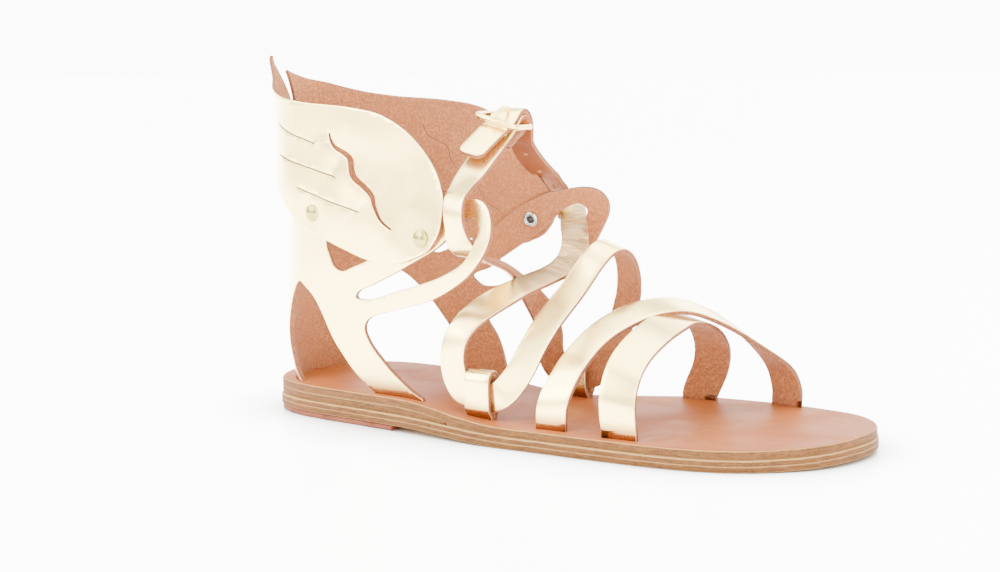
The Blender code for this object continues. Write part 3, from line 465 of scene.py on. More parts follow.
# Soft hollows and swells of the bent leather: round and up in millimetres, their half sizes,
# their turn in degrees and how far they stand out in millimetres.
WING_SWELLS = (
    # around, height, half along, half across, turn, out
    (105.5, 75.5, 9.0, 8.0, 0, -0.7),
    (50.0, 82.0, 8.0, 8.0, 0, -0.5),
    (80.0, 112.0, 26.0, 12.0, -12, 0.8),
    (98.0, 96.0, 12.0, 16.0, 20, -0.5),
    (70.0, 80.0, 26.0, 8.0, -10, 0.4),
    (20.0, 100.0, 7.0, 26.0, 4, 0.4),
)
HARNESS_SWELLS = (
    # around, height, half along, half across, turn, out
    (0.0, 50.0, 10.0, 22.0, 0, 0.4),
    (60.0, 54.0, 8.0, 8.0, 20, -0.4),
    (46.0, 58.0, 9.0, 9.0, 0, 0.4),
    (95.0, 56.0, 14.0, 5.0, 18, 0.3),
    (68.0, 30.0, 6.0, 14.0, -20, 0.3),
)
# Creases of the straps: at a row of the strap's table, in millimetres out (or in, below zero),
# how many rows long, and how far the crease leans across the strap, in rows.
LACE_CREASES = (
    # row, out, length, lean
    (21.4, -0.25, 0.20, 0.20), (22.1, 0.30, 0.18, -0.20), (22.8, -0.30, 0.18, 0.25),
    (26.6, 0.25, 0.16, 0.20), (27.1, -0.35, 0.16, -0.25), (27.7, 0.30, 0.18, 0.20),
    (47.4, -0.20, 0.16, 0.20), (48.1, 0.28, 0.15, -0.15), (48.8, -0.30, 0.15, 0.20),
    (49.4, 0.32, 0.14, -0.20), (50.1, -0.32, 0.15, 0.15), (50.8, 0.30, 0.15, -0.15),
    (51.5, -0.30, 0.15, 0.18), (52.2, 0.25, 0.16, -0.15), (56.4, -0.30, 0.25, -0.20),
    (57.6, 0.30, 0.30, 0.20),
)
# Where the gold of the lacing strap is crumpled into fine wrinkles: from row to row, how much.
LACE_CRUMPLES = (
    # from, to, amount
    (20.5, 24.5, 0.5), (25.5, 29.0, 0.5), (47.0, 53.5, 1.0), (54.5, 58.0, 0.3),
)
# Where painted shade and painted reflection make the gold of the lacing strap warmer and browner: from row
# to row, how much.
LACE_PAINTED_SHADING = (
    # from, to, amount
    (42.6, 46.4, 0.55), (45.4, 50.6, 1.0), (49.6, 54.5, 0.85), (21.5, 26.0, 0.6),
)


def blend(table, column, key):
    """Value of a column of a table at a key of its first column, straight between rows."""
    if key <= table[0][0]:
        return table[0][column]
    for low, high in zip(table, table[1:]):
        if key <= high[0]:
            share = (key - low[0]) / (high[0] - low[0])
            return low[column] + share * (high[column] - low[column])
    return table[-1][column]


def smooth_step(value, start, end):
    share = min(max((value - start) / (end - start), 0.0), 1.0)
    return share * share * (3.0 - 2.0 * share)


def smooth_curve(points, steps, closed):
    """Points on a smooth curve through the given points, with steps to each span."""
    count = len(points)
    spans = count if closed else count - 1
    curve = []
    for span in range(spans):
        if closed:
            before, start, end, after = (points[(span + k) % count] for k in (-1, 0, 1, 2))
        else:
            before = points[max(span - 1, 0)]
            start = points[span]
            end = points[span + 1]
            after = points[min(span + 2, count - 1)]
        for step in range(steps):
            t = step / steps
            pull_in = (end - before) * 0.5
            pull_out = (after - start) * 0.5
            curve.append(
                start * (2 * t**3 - 3 * t**2 + 1)
                + pull_in * (t**3 - 2 * t**2 + t)
                + end * (3 * t**2 - 2 * t**3)
                + pull_out * (t**3 - t**2)
            )
    if not closed:
        curve.append(points[-1].copy())
    return curve


def cut(target, cutters):
    """Takes the cutters out of the target and removes them."""
    for cutter in cutters:
        cutter.hide_render = True
        cutter.display_type = "WIRE"
        modifier = target.modifiers.new("cut", "BOOLEAN")
        modifier.operation = "DIFFERENCE"
        modifier.solver = "EXACT"
        modifier.object = cutter
    apply_modifiers(target)
    for cutter in cutters:
        bpy.data.objects.remove(cutter, do_unlink=True)


def apply_modifiers(thing):
    bpy.context.view_layer.update()
    evaluated = thing.evaluated_get(bpy.context.evaluated_depsgraph_get())
    finished = bpy.data.meshes.new_from_object(evaluated)
    thing.modifiers.clear()
    thing.data = finished
    finished.set_sharp_from_angle(angle=math.radians(35))


# Helpers for pieces


def new_piece(name, mesh, *finishes):
    thing = bpy.data.objects.new(name, mesh)
    bpy.context.scene.collection.objects.link(thing)
    for finish in finishes:
        mesh.materials.append(finish)
    return thing


def turn_outwards(mesh):
    form = bmesh.new()
    form.from_mesh(mesh)
    bmesh.ops.recalc_face_normals(form, faces=form.faces)
    form.to_mesh(mesh)
    form.free()


def closed_mesh(name, points, faces, zones=None):
    """A smooth mesh whose faces point outwards; zones number each face's finish."""
    mesh = bpy.data.meshes.new(name)
    mesh.from_pydata([tuple(point) for point in points], [], faces)
    if zones:
        mesh.polygons.foreach_set("material_index", zones)
    turn_outwards(mesh)
    mesh.shade_smooth()
    return mesh


def tube_faces(rows, count):
    """The strips between rings that follow each other, and a cap on each end."""
    faces = []
    for row in range(rows - 1):
        for k in range(count):
            following = (k + 1) % count
            faces.append((row * count + k, row * count + following,
                          (row + 1) * count + following, (row + 1) * count + k))
    return faces + [tuple(start + k for k in range(count)) for start in (0, (rows - 1) * count)]


def round_rings(profile, count, axis, site):
    """Rings of points round an axis, one for each radius and height of a profile."""
    turned = axis.to_track_quat("Z", "Y")
    points = []
    for out, height in profile:
        for k in range(count):
            angle = 2 * math.pi * k / count
            spot = Vector((out * math.cos(angle), out * math.sin(angle), height))
            points.append(site + turned @ spot)
    return points


def add_share(mesh, name, values):
    """A number for each point of a mesh, which a finish can read."""
    layer = mesh.attributes.new(name, "FLOAT", "POINT")
    layer.data.foreach_set("value", values)


def add_map(mesh, places):
    """Lays the surface flat: one place for each point, in decimetres."""
    layer = mesh.uv_layers.new(name="flat_pattern")
    for loop in mesh.loops:
        place = places[loop.vertex_index]
        layer.data[loop.index].uv = (place[0] * 10.0, place[1] * 10.0)


def even_out(points, passes):
    """Takes sudden changes of bend out of a row of points; its ends stay."""
    for _ in range(passes):
        inner = [
            before * 0.25 + here * 0.5 + after * 0.25
            for before, here, after in zip(points, points[1:], points[2:])
        ]
        points = [points[0]] + inner + [points[-1]]
    return points


def finish_piece(piece, slot, *nodes):
    """Moves a piece into the frame and hides the solids it stands for; slot, the name of its finish, is
    not used.
    """
    piece.data.transform(Matrix.Translation(ORIGIN))
    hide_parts(*nodes)
    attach(piece, "root")
    return piece


def ground_rise(x):
    """Height of the outsole's underside: on the heel lift, down to the ball, up at the toes."""
    share = x / SOLE_LENGTH
    heel = (HEEL_LIFT_THICKNESS + LAYER_GAP) * (1.0 - smooth_step(share, HEEL_BREAST, ARCH_END))
    toe = TOE_SPRING * max((share - TOE_SPRING_START) / (1.0 - TOE_SPRING_START), 0.0) ** 2
    return heel + toe


def insole_bottom(x):
    share = x / SOLE_LENGTH
    wedge = HEEL_WEDGE_THICKNESS + LAYER_GAP
    lift = wedge * (1.0 - smooth_step(share, WEDGE_FULL_TO, WEDGE_END))
    return ground_rise(x) + OUTSOLE_THICKNESS + LAYER_GAP + lift


def insole_top(x):
    return insole_bottom(x) + INSOLE_THICKNESS


def sole_rim(step_out, steps):
    """The sole's outline as lateral and medial edges with equally many points."""
    lateral = [Vector((a * SOLE_LENGTH, -l * BALL_WIDTH, 0.0)) for a, l, _ in SOLE_ROWS]
    medial = [Vector((a * SOLE_LENGTH, m * BALL_WIDTH, 0.0)) for a, _, m in SOLE_ROWS]
    ring = smooth_curve(lateral + medial[-2:0:-1], steps, True)
    moved = []
    for index, point in enumerate(ring):
        along = ring[(index + 1) % len(ring)] - ring[index - 1]
        outward = Vector((along.y, -along.x, 0.0)).normalized()
        moved.append(point + outward * step_out)
    half = (len(SOLE_ROWS) - 1) * steps
    near = moved[: half + 1]
    far = [moved[0]] + moved[:half - 1:-1]
    return near, far


def ladder(start, near_count):
    """Faces that bridge the lateral edge to the medial one, rung by rung."""
    last = near_count - 1
    far_start = start + near_count
    faces = [(start, start + 1, far_start)]
    for k in range(1, last - 1):
        faces.append((start + k, start + k + 1, far_start + k, far_start + k - 1))
    faces.append((start + last - 1, start + last, far_start + last - 2))
    return faces


# The form of the ankle, on which flat leather is bent


def form_curve(table, column):
    """A column of a form table at each millimetre of height, with its corners eased."""
    count = round(ANKLE_HEIGHT / MM) + 1
    values = [blend(table, column, k * MM / ANKLE_HEIGHT) for k in range(count)]
    return even_out(values, 50)


def along_curve(curve, height):
    place = min(max(height / MM, 0.0), len(curve) - 1.001)
    low = int(place)
    return curve[low] + (curve[low + 1] - curve[low]) * (place - low)


def harness_form(height):
    back = along_curve(HARNESS_BACK_CURVE, height) * ANKLE_HEIGHT
    radius = along_curve(HARNESS_RADIUS_CURVE, height) * ANKLE_HEIGHT
    return back, radius, math.radians(along_curve(HARNESS_SPLAY_CURVE, height))


def wing_form(height):
    _, radius, splay = harness_form(height)
    back = along_curve(WING_BACK_CURVE, height) * ANKLE_HEIGHT
    stand_off = (HARNESS_THICKNESS + WING_THICKNESS) / 2 + CLEARANCE + WING_EASE
    return back, radius + stand_off, splay


def on_form(form, around, height):
    """Point of the bent leather's middle surface; around is negative on the lateral side."""
    back, radius, splay = form(height)
    turn = abs(around) / radius
    last_turn = math.pi / 2 - splay
    bent = min(turn, last_turn)
    straight = max(turn - last_turn, 0.0) * radius
    x = back + radius * (1.0 - math.cos(bent)) + straight * math.cos(splay)
    y = radius * math.sin(bent) + straight * math.sin(splay)
    return Vector((x, math.copysign(y, around), height))


def form_normal(form, around, height):
    """Outward normal of the form."""
    small = 0.2 * MM
    across = on_form(form, around + small, height) - on_form(form, around - small, height)
    if abs(around) < small:
        across = Vector((0.0, 1.0, 0.0))
    up = on_form(form, around, height + small) - on_form(form, around, height - small)
    return up.cross(across).normalized()


def around_at(form, point):
    """How far round the form a point on it lies."""
    back, radius, splay = form(point.z)
    start = back + radius * (1.0 - math.sin(splay))
    if point.x < start:
        distance = radius * math.atan2(abs(point.y), back + radius - point.x)
    else:
        distance = radius * (math.pi / 2 - splay) + (point.x - start) / math.cos(splay)
    return math.copysign(distance, point.y)


def one_side(rows, side):
    """The around and height columns of one side of the harness pattern."""
    return [row[:2] if side < 0 else row[2:] for row in rows]


def run(rows, reach, side, foot):
    """A smooth edge of a flat pattern, in metres round and up. Feet stay straight."""
    points = [
        Vector((around * reach * side, height * ANKLE_HEIGHT, 0.0))
        for around, height in rows if height is not None
    ]
    curve = [(point.x, point.y) for point in smooth_curve(points, PLATE_STEPS, False)]
    if rows[0][1] is None:
        curve.insert(0, (rows[0][0] * reach * side, foot))
    if rows[-1][1] is None:
        curve.append((rows[-1][0] * reach * side, foot))
    return curve


def ring_run(rows, reach, side):
    points = [Vector((around * reach * side, height * ANKLE_HEIGHT, 0.0)) for around, height in rows]
    return [(point.x, point.y) for point in smooth_curve(points, PLATE_STEPS, True)]


def rivet_sites(side):
    """Each rivet's name, its place on the wing and on the harness below, and its direction."""
    sites = []
    for name, around, height in RIVET_PLACES:
        wing_around = around * WING_REACH * side
        wing_height = height * ANKLE_HEIGHT
        place = on_form(wing_form, wing_around, wing_height)
        direction = form_normal(wing_form, wing_around, wing_height)
        below = place - direction * ((HARNESS_THICKNESS + WING_THICKNESS) / 2 + CLEARANCE)
        around_harness = around_at(harness_form, below)
        sites.append((name, place, direction, wing_around, wing_height, around_harness, below.z))
    return sites


def on_foot(along, across, height):
    return Vector((along * SOLE_LENGTH, across * BALL_WIDTH, height * INSTEP_HEIGHT))


def buckle_axes():
    """The bar's place, its direction towards the toe, and the frame's direction from the bar."""
    front = math.radians(BUCKLE_FRONT_DIP)
    rest = math.radians(BUCKLE_REST_DIP)
    bar = Vector((math.cos(front), 0.0, -math.sin(front)))
    reach = Vector((0.0, -math.cos(rest), -math.sin(rest)))
    return on_foot(*BUCKLE_BAR), bar, reach


def prong_path():
    """From above the bar, up through the strap and down on the frame's near rod."""
    place, _, reach = buckle_axes()
    slope = math.radians(STRAP_SLOPE)
    lift = Vector((0.0, -math.sin(slope), math.cos(slope)))
    rest = BUCKLE_ROD / 2 + CLEARANCE + PRONG_RADIUS
    over = STRAP_THICKNESS * 2 + BUCKLE_ROD / 2 + CLEARANCE * 3
    points = [
        place + lift * rest,
        place + lift * over + reach * 0.8 * MM,
        place + lift * over + reach * 5.0 * MM - Vector((0, 0, 0.2 * MM)),
        place + reach * BUCKLE_LENGTH * 0.8 + Vector((0, 0, rest + 0.7 * MM)),
        place + reach * (BUCKLE_LENGTH + 1.2 * MM) + Vector((0, 0, rest)),
    ]
    return smooth_curve(points, PRONG_STEPS, False)


def wedge_front():
    """Where the wedge has tapered to a thin edge."""
    x = WEDGE_FULL_TO * SOLE_LENGTH
    while insole_bottom(x) - ground_rise(x) - OUTSOLE_THICKNESS - 2 * LAYER_GAP > 2 * RIM_CHAMFER:
        x += 0.5 * MM
    return x


# Plates: flat cut leather, bent


def side_normals(loop):
    """Directions out of a closed flat loop, one at each corner."""
    turn = sum(a[0] * b[1] - b[0] * a[1] for a, b in zip(loop, loop[1:] + loop[:1]))
    way = 1.0 if turn > 0 else -1.0
    normals = []
    for index, here in enumerate(loop):
        ahead = loop[(index + 1) % len(loop)]
        behind = loop[index - 1]
        first = Vector((here[1] - behind[1], behind[0] - here[0])).normalized()
        second = Vector((ahead[1] - here[1], here[0] - ahead[0])).normalized()
        normals.append((first + second).normalized() * way)
    return normals


def grown(loop, distance):
    """A flat loop moved outwards by a distance."""
    return [
        (place[0] + normal.x * distance, place[1] + normal.y * distance)
        for place, normal in zip(loop, side_normals(loop))
    ]


def cut_grid(flat, low, high):
    """Cuts a flat bmesh across in even steps both ways, so that it can bend."""
    for axis in (0, 1):
        direction = Vector((1, 0, 0)) if axis == 0 else Vector((0, 1, 0))
        count = math.floor((high[axis] - low[axis]) / PLATE_CELL)
        for k in range(1, count + 1):
            everything = flat.verts[:] + flat.edges[:] + flat.faces[:]
            place = direction * (low[axis] + k * PLATE_CELL)
            bmesh.ops.bisect_plane(flat, geom=everything, plane_co=place, plane_no=direction)


def edge_profile(thickness):
    """How far out and how high each step of a softly rounded leather edge lies."""
    half = thickness / 2
    steps = [(EDGE_ROUND * math.sin(math.radians(a)), half - EDGE_ROUND * (1 - math.cos(math.radians(a))))
             for a in (0, 30, 60, 90)]
    return steps + [(out, -depth) for out, depth in reversed(steps)]


def leather_plate(name, outline, holes, form, thickness, stand_out, finishes):
    """A flat cut piece bent on a form, with rounded edges: gold outside, nap inside."""
    flat = bmesh.new()
    edges = []
    for loop in [grown(outline, -EDGE_ROUND)] + [grown(hole, EDGE_ROUND) for hole in holes]:
        corners = [flat.verts.new((around, height, 0.0)) for around, height in loop]
        for here, following in zip(corners, corners[1:] + corners[:1]):
            edges.append(flat.edges.new((here, following)))
    bmesh.ops.triangle_fill(flat, edges=edges, use_beauty=True, normal=Vector((0, 0, 1)))
    low = [min(place[axis] for place in outline) for axis in (0, 1)]
    high = [max(place[axis] for place in outline) for axis in (0, 1)]
    cut_grid(flat, low, high)
    for face in flat.faces:
        if face.normal.z < 0:
            face.normal_flip()
    flat.verts.index_update()
    outward = {}
    rim = []
    for edge in flat.edges:
        if len(edge.link_faces) == 1:
            loop = edge.link_loops[0]
            start = loop.vert
            end = loop.link_loop_next.vert
            along = end.co - start.co
            for corner in (start, end):
                step = outward.get(corner.index, Vector((0, 0)))
                outward[corner.index] = step + Vector((along.y, -along.x)).normalized()
            rim.append((start.index, end.index))
    profile = edge_profile(thickness)
    places = []
    depths = []
    for corner in flat.verts:
        places.append((corner.co.x, corner.co.y))
        depths.append(thickness / 2)
    count = len(places)
    faces = []
    zones = []
    for face in flat.faces:
        corners = [corner.index for corner in face.verts]
        faces.append(corners)
        zones.append(0)
        faces.append([index + count for index in reversed(corners)])
        zones.append(2)
    places += places
    depths += [-thickness / 2] * count
    rings = {}
    for index, step in outward.items():
        step.normalize()
        ring = [index]
        for out, depth in profile[1:-1]:
            ring.append(len(places))
            places.append((places[index][0] + step.x * out, places[index][1] + step.y * out))
            depths.append(depth)
        ring.append(index + count)
        rings[index] = ring
    strip_zones = (0, 0, 1, 1, 1, 1, 2)
    for start, end in rim:
        for k, zone in enumerate(strip_zones):
            a, b = rings[start], rings[end]
            faces.append((a[k], a[k + 1], b[k + 1], b[k]))
            zones.append(zone)
    flat.free()
    points = []
    for (around, height), depth in zip(places, depths):
        normal = form_normal(form, around, height)
        points.append(on_form(form, around, height) + normal * (depth + stand_out(around, height)))
    mesh = closed_mesh(name, points, faces, zones)
    add_share(mesh, "depth_share", [depth / thickness + 0.5 for depth in depths])
    add_share(mesh, "crumple", [0.0] * len(points))
    add_map(mesh, places)
    return new_piece(name, mesh, *finishes)


def swell_height(swells, around, height):
    """How far the listed hollows and swells push the leather out at a place."""
    out = 0.0
    for row_around, row_height, half_along, half_across, turn, rise in swells:
        x = abs(around) / MM - row_around
        y = height / MM - row_height
        angle = math.radians(turn)
        u = (x * math.cos(angle) + y * math.sin(angle)) / half_along
        v = (y * math.cos(angle) - x * math.sin(angle)) / half_across
        out += rise * MM * math.exp(-(u * u + v * v))
    return out


def slit_loop(line, width, taper):
    """A closed thin cut along a flat line, widest in its middle when it tapers."""
    points = smooth_curve([Vector((x * MM, y * MM, 0.0)) for x, y in line], 5, False)
    left = []
    right = []
    last = len(points) - 1
    for index, point in enumerate(points):
        ahead = points[min(index + 1, last)]
        behind = points[max(index - 1, 0)]
        along = (ahead - behind).normalized()
        share = math.sin(math.pi * (index + 0.5) / (last + 1))
        half = width / 2 * (0.55 + 0.45 * share if taper else 1.0)
        aside = Vector((-along.y, along.x, 0.0)) * half
        left.append((point.x + aside.x, point.y + aside.y))
        right.append((point.x - aside.x, point.y - aside.y))
    return right + left[::-1]


def wavy_lift(around, height):
    """The leather behind the wavy cut stands out and the leather in front of it dips."""
    place = Vector((abs(around), height, 0.0))
    best = None
    for index, point in enumerate(WAVY_LINE):
        distance = (place - point).length
        if best is None or distance < best[0]:
            best = (distance, index)
    distance, index = best
    ahead = WAVY_LINE[min(index + 1, len(WAVY_LINE) - 1)]
    behind = WAVY_LINE[max(index - 1, 0)]
    along = ahead - behind
    aside = along.x * (place.y - WAVY_LINE[index].y) - along.y * (place.x - WAVY_LINE[index].x)
    share = index / (len(WAVY_LINE) - 1)
    strength = math.sin(math.pi * share) ** 1.2 * math.exp(-(distance / WAVY_SLIT_REACH) ** 2)
    return WAVY_SLIT_LIFT * strength * (WAVY_FRONT_SHARE if aside > 0 else WAVY_BACK_SHARE)


def mirrored(loop, side):
    return loop if side > 0 else [(-x, y) for x, y in loop][::-1]


def dressed_wing(name, side, finishes):
    """A wing: the near one has an open wavy cut and a flared tip, the far one a lower front."""
    near = side < 0
    outline = run(WING_BACK_EDGE, WING_REACH, 1.0, 0.0)[:-1]
    outline += run(WING_EDGE, WING_REACH, 1.0, 0.0)[:-1]
    moved = []
    for x, y in outline:
        at_tip = (1 - smooth_step(x, 0.0, TIP_BLEND)) * smooth_step(y, TIP_START, TIP_TOP)
        if near:
            y += TIP_RISE * at_tip * smooth_step(TIP_REACH - x, 0.0, TIP_REACH)
        else:
            y -= TIP_DROP * at_tip
            x -= TIP_PULL * at_tip
            if y > FAR_TOP[0]:
                y -= FAR_TOP[1] * smooth_step(x, *FAR_TOP[2:])
            elif y < FAR_LOW[0]:
                y -= FAR_LOW[1] * smooth_step(x, *FAR_LOW[2:])
        moved.append((x, y))
    outline = moved
    cuts = [slit_loop(line, CLOSED_SLIT_WIDTH, False) for line in FEATHER_SLITS]
    cuts.append(slit_loop(WAVY_SLIT, WAVY_SLIT_WIDTH if near else CLOSED_SLIT_WIDTH, near))

    def stand_out(around, height):
        out = swell_height(WING_SWELLS, around, height)
        if near:
            left = max(TIP_REACH - abs(around), 0.0) / TIP_REACH
            flare = TIP_FLARE * left ** 2 * smooth_step(height, TIP_START, TIP_TOP)
            out += wavy_lift(around, height) + flare
        return out

    loops = [mirrored(loop, side) for loop in cuts]
    return leather_plate(name, mirrored(outline, side), loops, wing_form, WING_THICKNESS,
                         stand_out, finishes)


def dressed_harness(finishes):
    foot = insole_bottom(HEEL_BREAST * SOLE_LENGTH * 0.5) + 0.5 * MM
    outline = []
    for side in (1.0, -1.0):
        edge = run(one_side(REAR_OPENING, side), HARNESS_REACH, side, foot)
        edge += run(one_side(LEG_AND_EYE, side), HARNESS_REACH, side, foot)
        outline += edge if side > 0 else edge[::-1]
    holes = [ring_run(one_side(EYE_HOLE, side), HARNESS_REACH, side) for side in (1.0, -1.0)]

    def stand_out(around, height):
        return swell_height(HARNESS_SWELLS, around, height) * smooth_step(height, 14 * MM, 24 * MM)

    return leather_plate("ankle_harness", outline, holes, harness_form, HARNESS_THICKNESS,
                         stand_out, finishes)


# Straps


def strap_route(rows, foot):
    """Middle line of a strap, the direction of its width, and the table row of each place."""
    rows_used = [row for row in rows if row[2] is not None]
    middles = [on_foot(along, across, height) for along, across, height, _, _ in rows_used]
    widths = []
    for _, _, _, heading, dip in rows_used:
        turn = math.radians(heading)
        slope = math.radians(dip)
        widths.append(Vector((
            math.cos(turn) * math.cos(slope), math.sin(turn) * math.cos(slope), math.sin(slope)
        )))
    middles = even_out(smooth_curve(middles, ROUTE_STEPS, False), ROUTE_PASSES)
    widths = even_out(smooth_curve(widths, ROUTE_STEPS, False), ROUTE_PASSES)
    first = 0 if rows[0][2] is not None else 1
    places = [first + index / ROUTE_STEPS for index in range(len(middles))]
    if rows[0][2] is None:
        middles.insert(0, Vector((middles[0].x, middles[0].y, foot(middles[0].x))))
        widths.insert(0, widths[0].copy())
        places.insert(0, 0.0)
    if rows[-1][2] is None:
        middles.append(Vector((middles[-1].x, middles[-1].y, foot(middles[-1].x))))
        widths.append(widths[-1].copy())
        places.append(places[-1] + 1.0)
    return middles, widths, places


def strap_section(width, thickness):
    """Places across and deep of a strap's section, and the finish of each strip."""
    half = width / 2 - EDGE_ROUND
    count = 8
    section = []
    for depth_way in (1, -1):
        for k in range(count + 1):
            across = half * (1 - 2 * k / count) * -depth_way
            crown = STRAP_CROWN * (1 - (across / half) ** 2) if depth_way > 0 else 0.0
            section.append((across, depth_way * thickness / 2 + crown, 0 if depth_way > 0 else 2))
        for out, depth in edge_profile(thickness)[1:-1]:
            section.append(((half + out) * depth_way, depth * depth_way, 1))
    zones = []
    for index, (_, _, zone) in enumerate(section):
        following = section[(index + 1) % len(section)][2]
        zones.append(zone if zone == following else (zone if zone != 1 else following))
    return section, zones


def strap_crease(creases, place, across_share):
    out = 0.0
    for row, rise, length, lean in creases:
        distance = (place - row - lean * across_share) / length
        if abs(distance) < 3:
            out += rise * MM * math.exp(-distance * distance)
    return out


def crumple_at(crumples, place):
    amount = 0.0
    for start, end, strength in crumples:
        ease = 0.6
        rise = smooth_step(place, start, start + ease) * (1 - smooth_step(place, end - ease, end))
        amount = max(amount, strength * rise)
    return amount


def leather_strap(name, route, width, thickness, finishes, creases=(), crumples=(), painted_shadings=(),
                  tab_corner=0.0):
    """A strap along a route with rounded edges: gold on its finished side, nap on the other."""
    middles, widths, rows = route
    section, strip_zones = strap_section(width, thickness)
    lengths = [0.0]
    for here, following in zip(middles, middles[1:]):
        lengths.append(lengths[-1] + (following - here).length)
    points = []
    places = []
    depths = []
    crumple = []
    painted_shading = []
    for index, middle in enumerate(middles):
        ahead = middles[min(index + 1, len(middles) - 1)]
        behind = middles[max(index - 1, 0)]
        along = (ahead - behind).normalized()
        across = (widths[index] - along * widths[index].dot(along)).normalized()
        face = across.cross(along)
        length = lengths[index]
        uneven = STRAP_WANDER * noise.noise(Vector((length * 60.0, width * 900.0, 0.0)))
        half = width / 2 + uneven
        to_end = lengths[-1] - length
        if to_end < tab_corner:
            half += math.sqrt(tab_corner**2 - (tab_corner - to_end) ** 2) - tab_corner
        amount = crumple_at(crumples, rows[index])
        # Painted shade and reflection: how much browner the gold is painted at this row.
        shading_amount = crumple_at(painted_shadings, rows[index])
        for offset, depth, _ in section:
            share = offset / (width / 2)
            crease = strap_crease(creases, rows[index], share)
            points.append(middle + across * share * half + face * (depth + crease))
            places.append((length, offset))
            depths.append(depth / thickness + 0.5)
            crumple.append(amount)
            painted_shading.append(shading_amount)
    zones = strip_zones * (len(middles) - 1) + [1, 1]
    mesh = closed_mesh(name, points, tube_faces(len(middles), len(section)), zones)
    add_share(mesh, "depth_share", depths)
    add_share(mesh, "crumple", crumple)
    add_share(mesh, "painted_shading", painted_shading)
    add_map(mesh, places)
    return new_piece(name, mesh, *finishes)


def plain_block(middles, width_direction, width, thickness):
    """A straight cutter along two points."""
    points = []
    along = (middles[1] - middles[0]).normalized()
    across = (width_direction - along * width_direction.dot(along)).normalized()
    face = across.cross(along)
    for middle in middles:
        for side, depth in ((-1, -1), (1, -1), (1, 1), (-1, 1)):
            points.append(middle + across * side * width / 2 + face * depth * thickness / 2)
    return new_piece("slot_cutter", closed_mesh("slot_cutter", points, tube_faces(2, 4)))


def round_cutter(start, end, radius, finish, count=24):
    """A round punch between two points."""
    axis = end - start
    points = round_rings(((radius, 0.0), (radius, axis.length)), count, axis, start)
    faces = tube_faces(2, count)
    return new_piece("punch", closed_mesh("punch", points, faces, [1] * len(faces)), finish, finish)


def raised_middle(route, rise):
    """The same strap route, lifted where it crosses over the other strap."""
    middles, widths, rows = route
    last = len(middles) - 1
    lifts = [rise * math.sin(math.pi * k / last) ** 2 for k in range(last + 1)]
    return [place + Vector((0.0, 0.0, lift)) for place, lift in zip(middles, lifts)], widths, rows


def loop_route(along, across):
    """Route of a sole loop: up one side, round the top and down the other."""
    x = along * SOLE_LENGTH
    y = across * BALL_WIDTH
    floor = insole_bottom(x)
    top = insole_top(x) + SOLE_LOOP_HEIGHT
    half_gap = (STRAP_THICKNESS + 2 * SOLE_LOOP_EASE) / 2 + STRAP_THICKNESS / 2
    closed_gap = STRAP_THICKNESS / 2 + CLEARANCE / 2
    waist = insole_top(x) + LOOP_WAIST
    shoulder = insole_top(x) + LOOP_SHOULDER
    side = [(closed_gap, floor), (closed_gap, waist), (half_gap, shoulder), (half_gap, top - half_gap)]
    arc = [(half_gap * math.cos(turn), top - half_gap + half_gap * math.sin(turn))
           for turn in (math.pi * k / 8 for k in range(1, 8))]
    corners = side + arc + [(-a, b) for a, b in reversed(side)]
    middles = []
    for start, end in zip(corners, corners[1:]):
        first = Vector((x, y + start[0], start[1]))
        last = Vector((x, y + end[0], end[1]))
        steps = max(math.ceil((last - first).length / LOOP_STEP), 1)
        middles += [first.lerp(last, k / steps) for k in range(steps)]
    middles.append(Vector((x, y + corners[-1][0], corners[-1][1])))
    middles = even_out(middles, 5)
    return middles, [Vector((-1.0, 0.0, 0.0))] * len(middles), [0.0] * len(middles)


# The sole


def sole_layer(name, bottom, top, step_out, rough, finishes):
    """A layer of the sole with a rounded rim, its side slightly uneven."""
    round_rim = SOLE_RIM_ROUND
    rings = [(step_out - 3 * round_rim, 0, 0.0), (step_out - round_rim, 0, 0.0)]
    rings += [(step_out - round_rim * (1 - math.sin(a)), 0, round_rim * (1 - math.cos(a)))
              for a in (math.radians(t) for t in (30, 60, 90))]
    rings += [(step_out, 0.35, 0.0), (step_out, 0.65, 0.0)]
    rings += [(step_out - round_rim * (1 - math.sin(a)), 1, -round_rim * (1 - math.cos(a)))
              for a in (math.radians(t) for t in (90, 60, 30))]
    rings += [(step_out - round_rim, 1, 0.0), (step_out - 3 * round_rim, 1, 0.0)]
    points = []
    places = []
    shares = []
    starts = []
    for offset, level, shift in rings:
        near, far = sole_rim(offset, RIM_STEPS)
        starts.append(len(points))
        for point in near + far[1:-1]:
            low = bottom(point.x)
            high = top(point.x)
            z = low + (high - low) * level + shift
            outward = Vector((point.x - SOLE_MIDDLE, point.y * 2.0, 0.0)).normalized()
            uneven = noise.noise(Vector((point.x * 160, point.y * 160, z * 500))) * rough
            if offset > step_out - 2 * round_rim:
                point = point + outward * uneven
            points.append(Vector((point.x, point.y, z)))
            places.append((point.x, point.y))
            shares.append((z - low) / (high - low))
    near_count = len(near)
    count = len(points) // len(rings)
    order = list(range(near_count)) + list(range(count - 1, near_count - 1, -1))
    faces = []
    zones = []
    for row, (low, high) in enumerate(zip(starts, starts[1:])):
        for k in range(count):
            here = order[k]
            following = order[(k + 1) % count]
            faces.append((low + here, low + following, high + following, high + here))
            zones.append(0 if row >= len(rings) - 3 else 1)
    bottom_faces = ladder(starts[0], near_count)
    top_faces = ladder(starts[-1], near_count)
    faces += bottom_faces + top_faces
    zones += [1] * len(bottom_faces) + [0] * len(top_faces)
    mesh = closed_mesh(name, points, faces, zones)
    add_share(mesh, "layer_share", shares)
    add_map(mesh, places)
    return new_piece(name, mesh, *finishes)


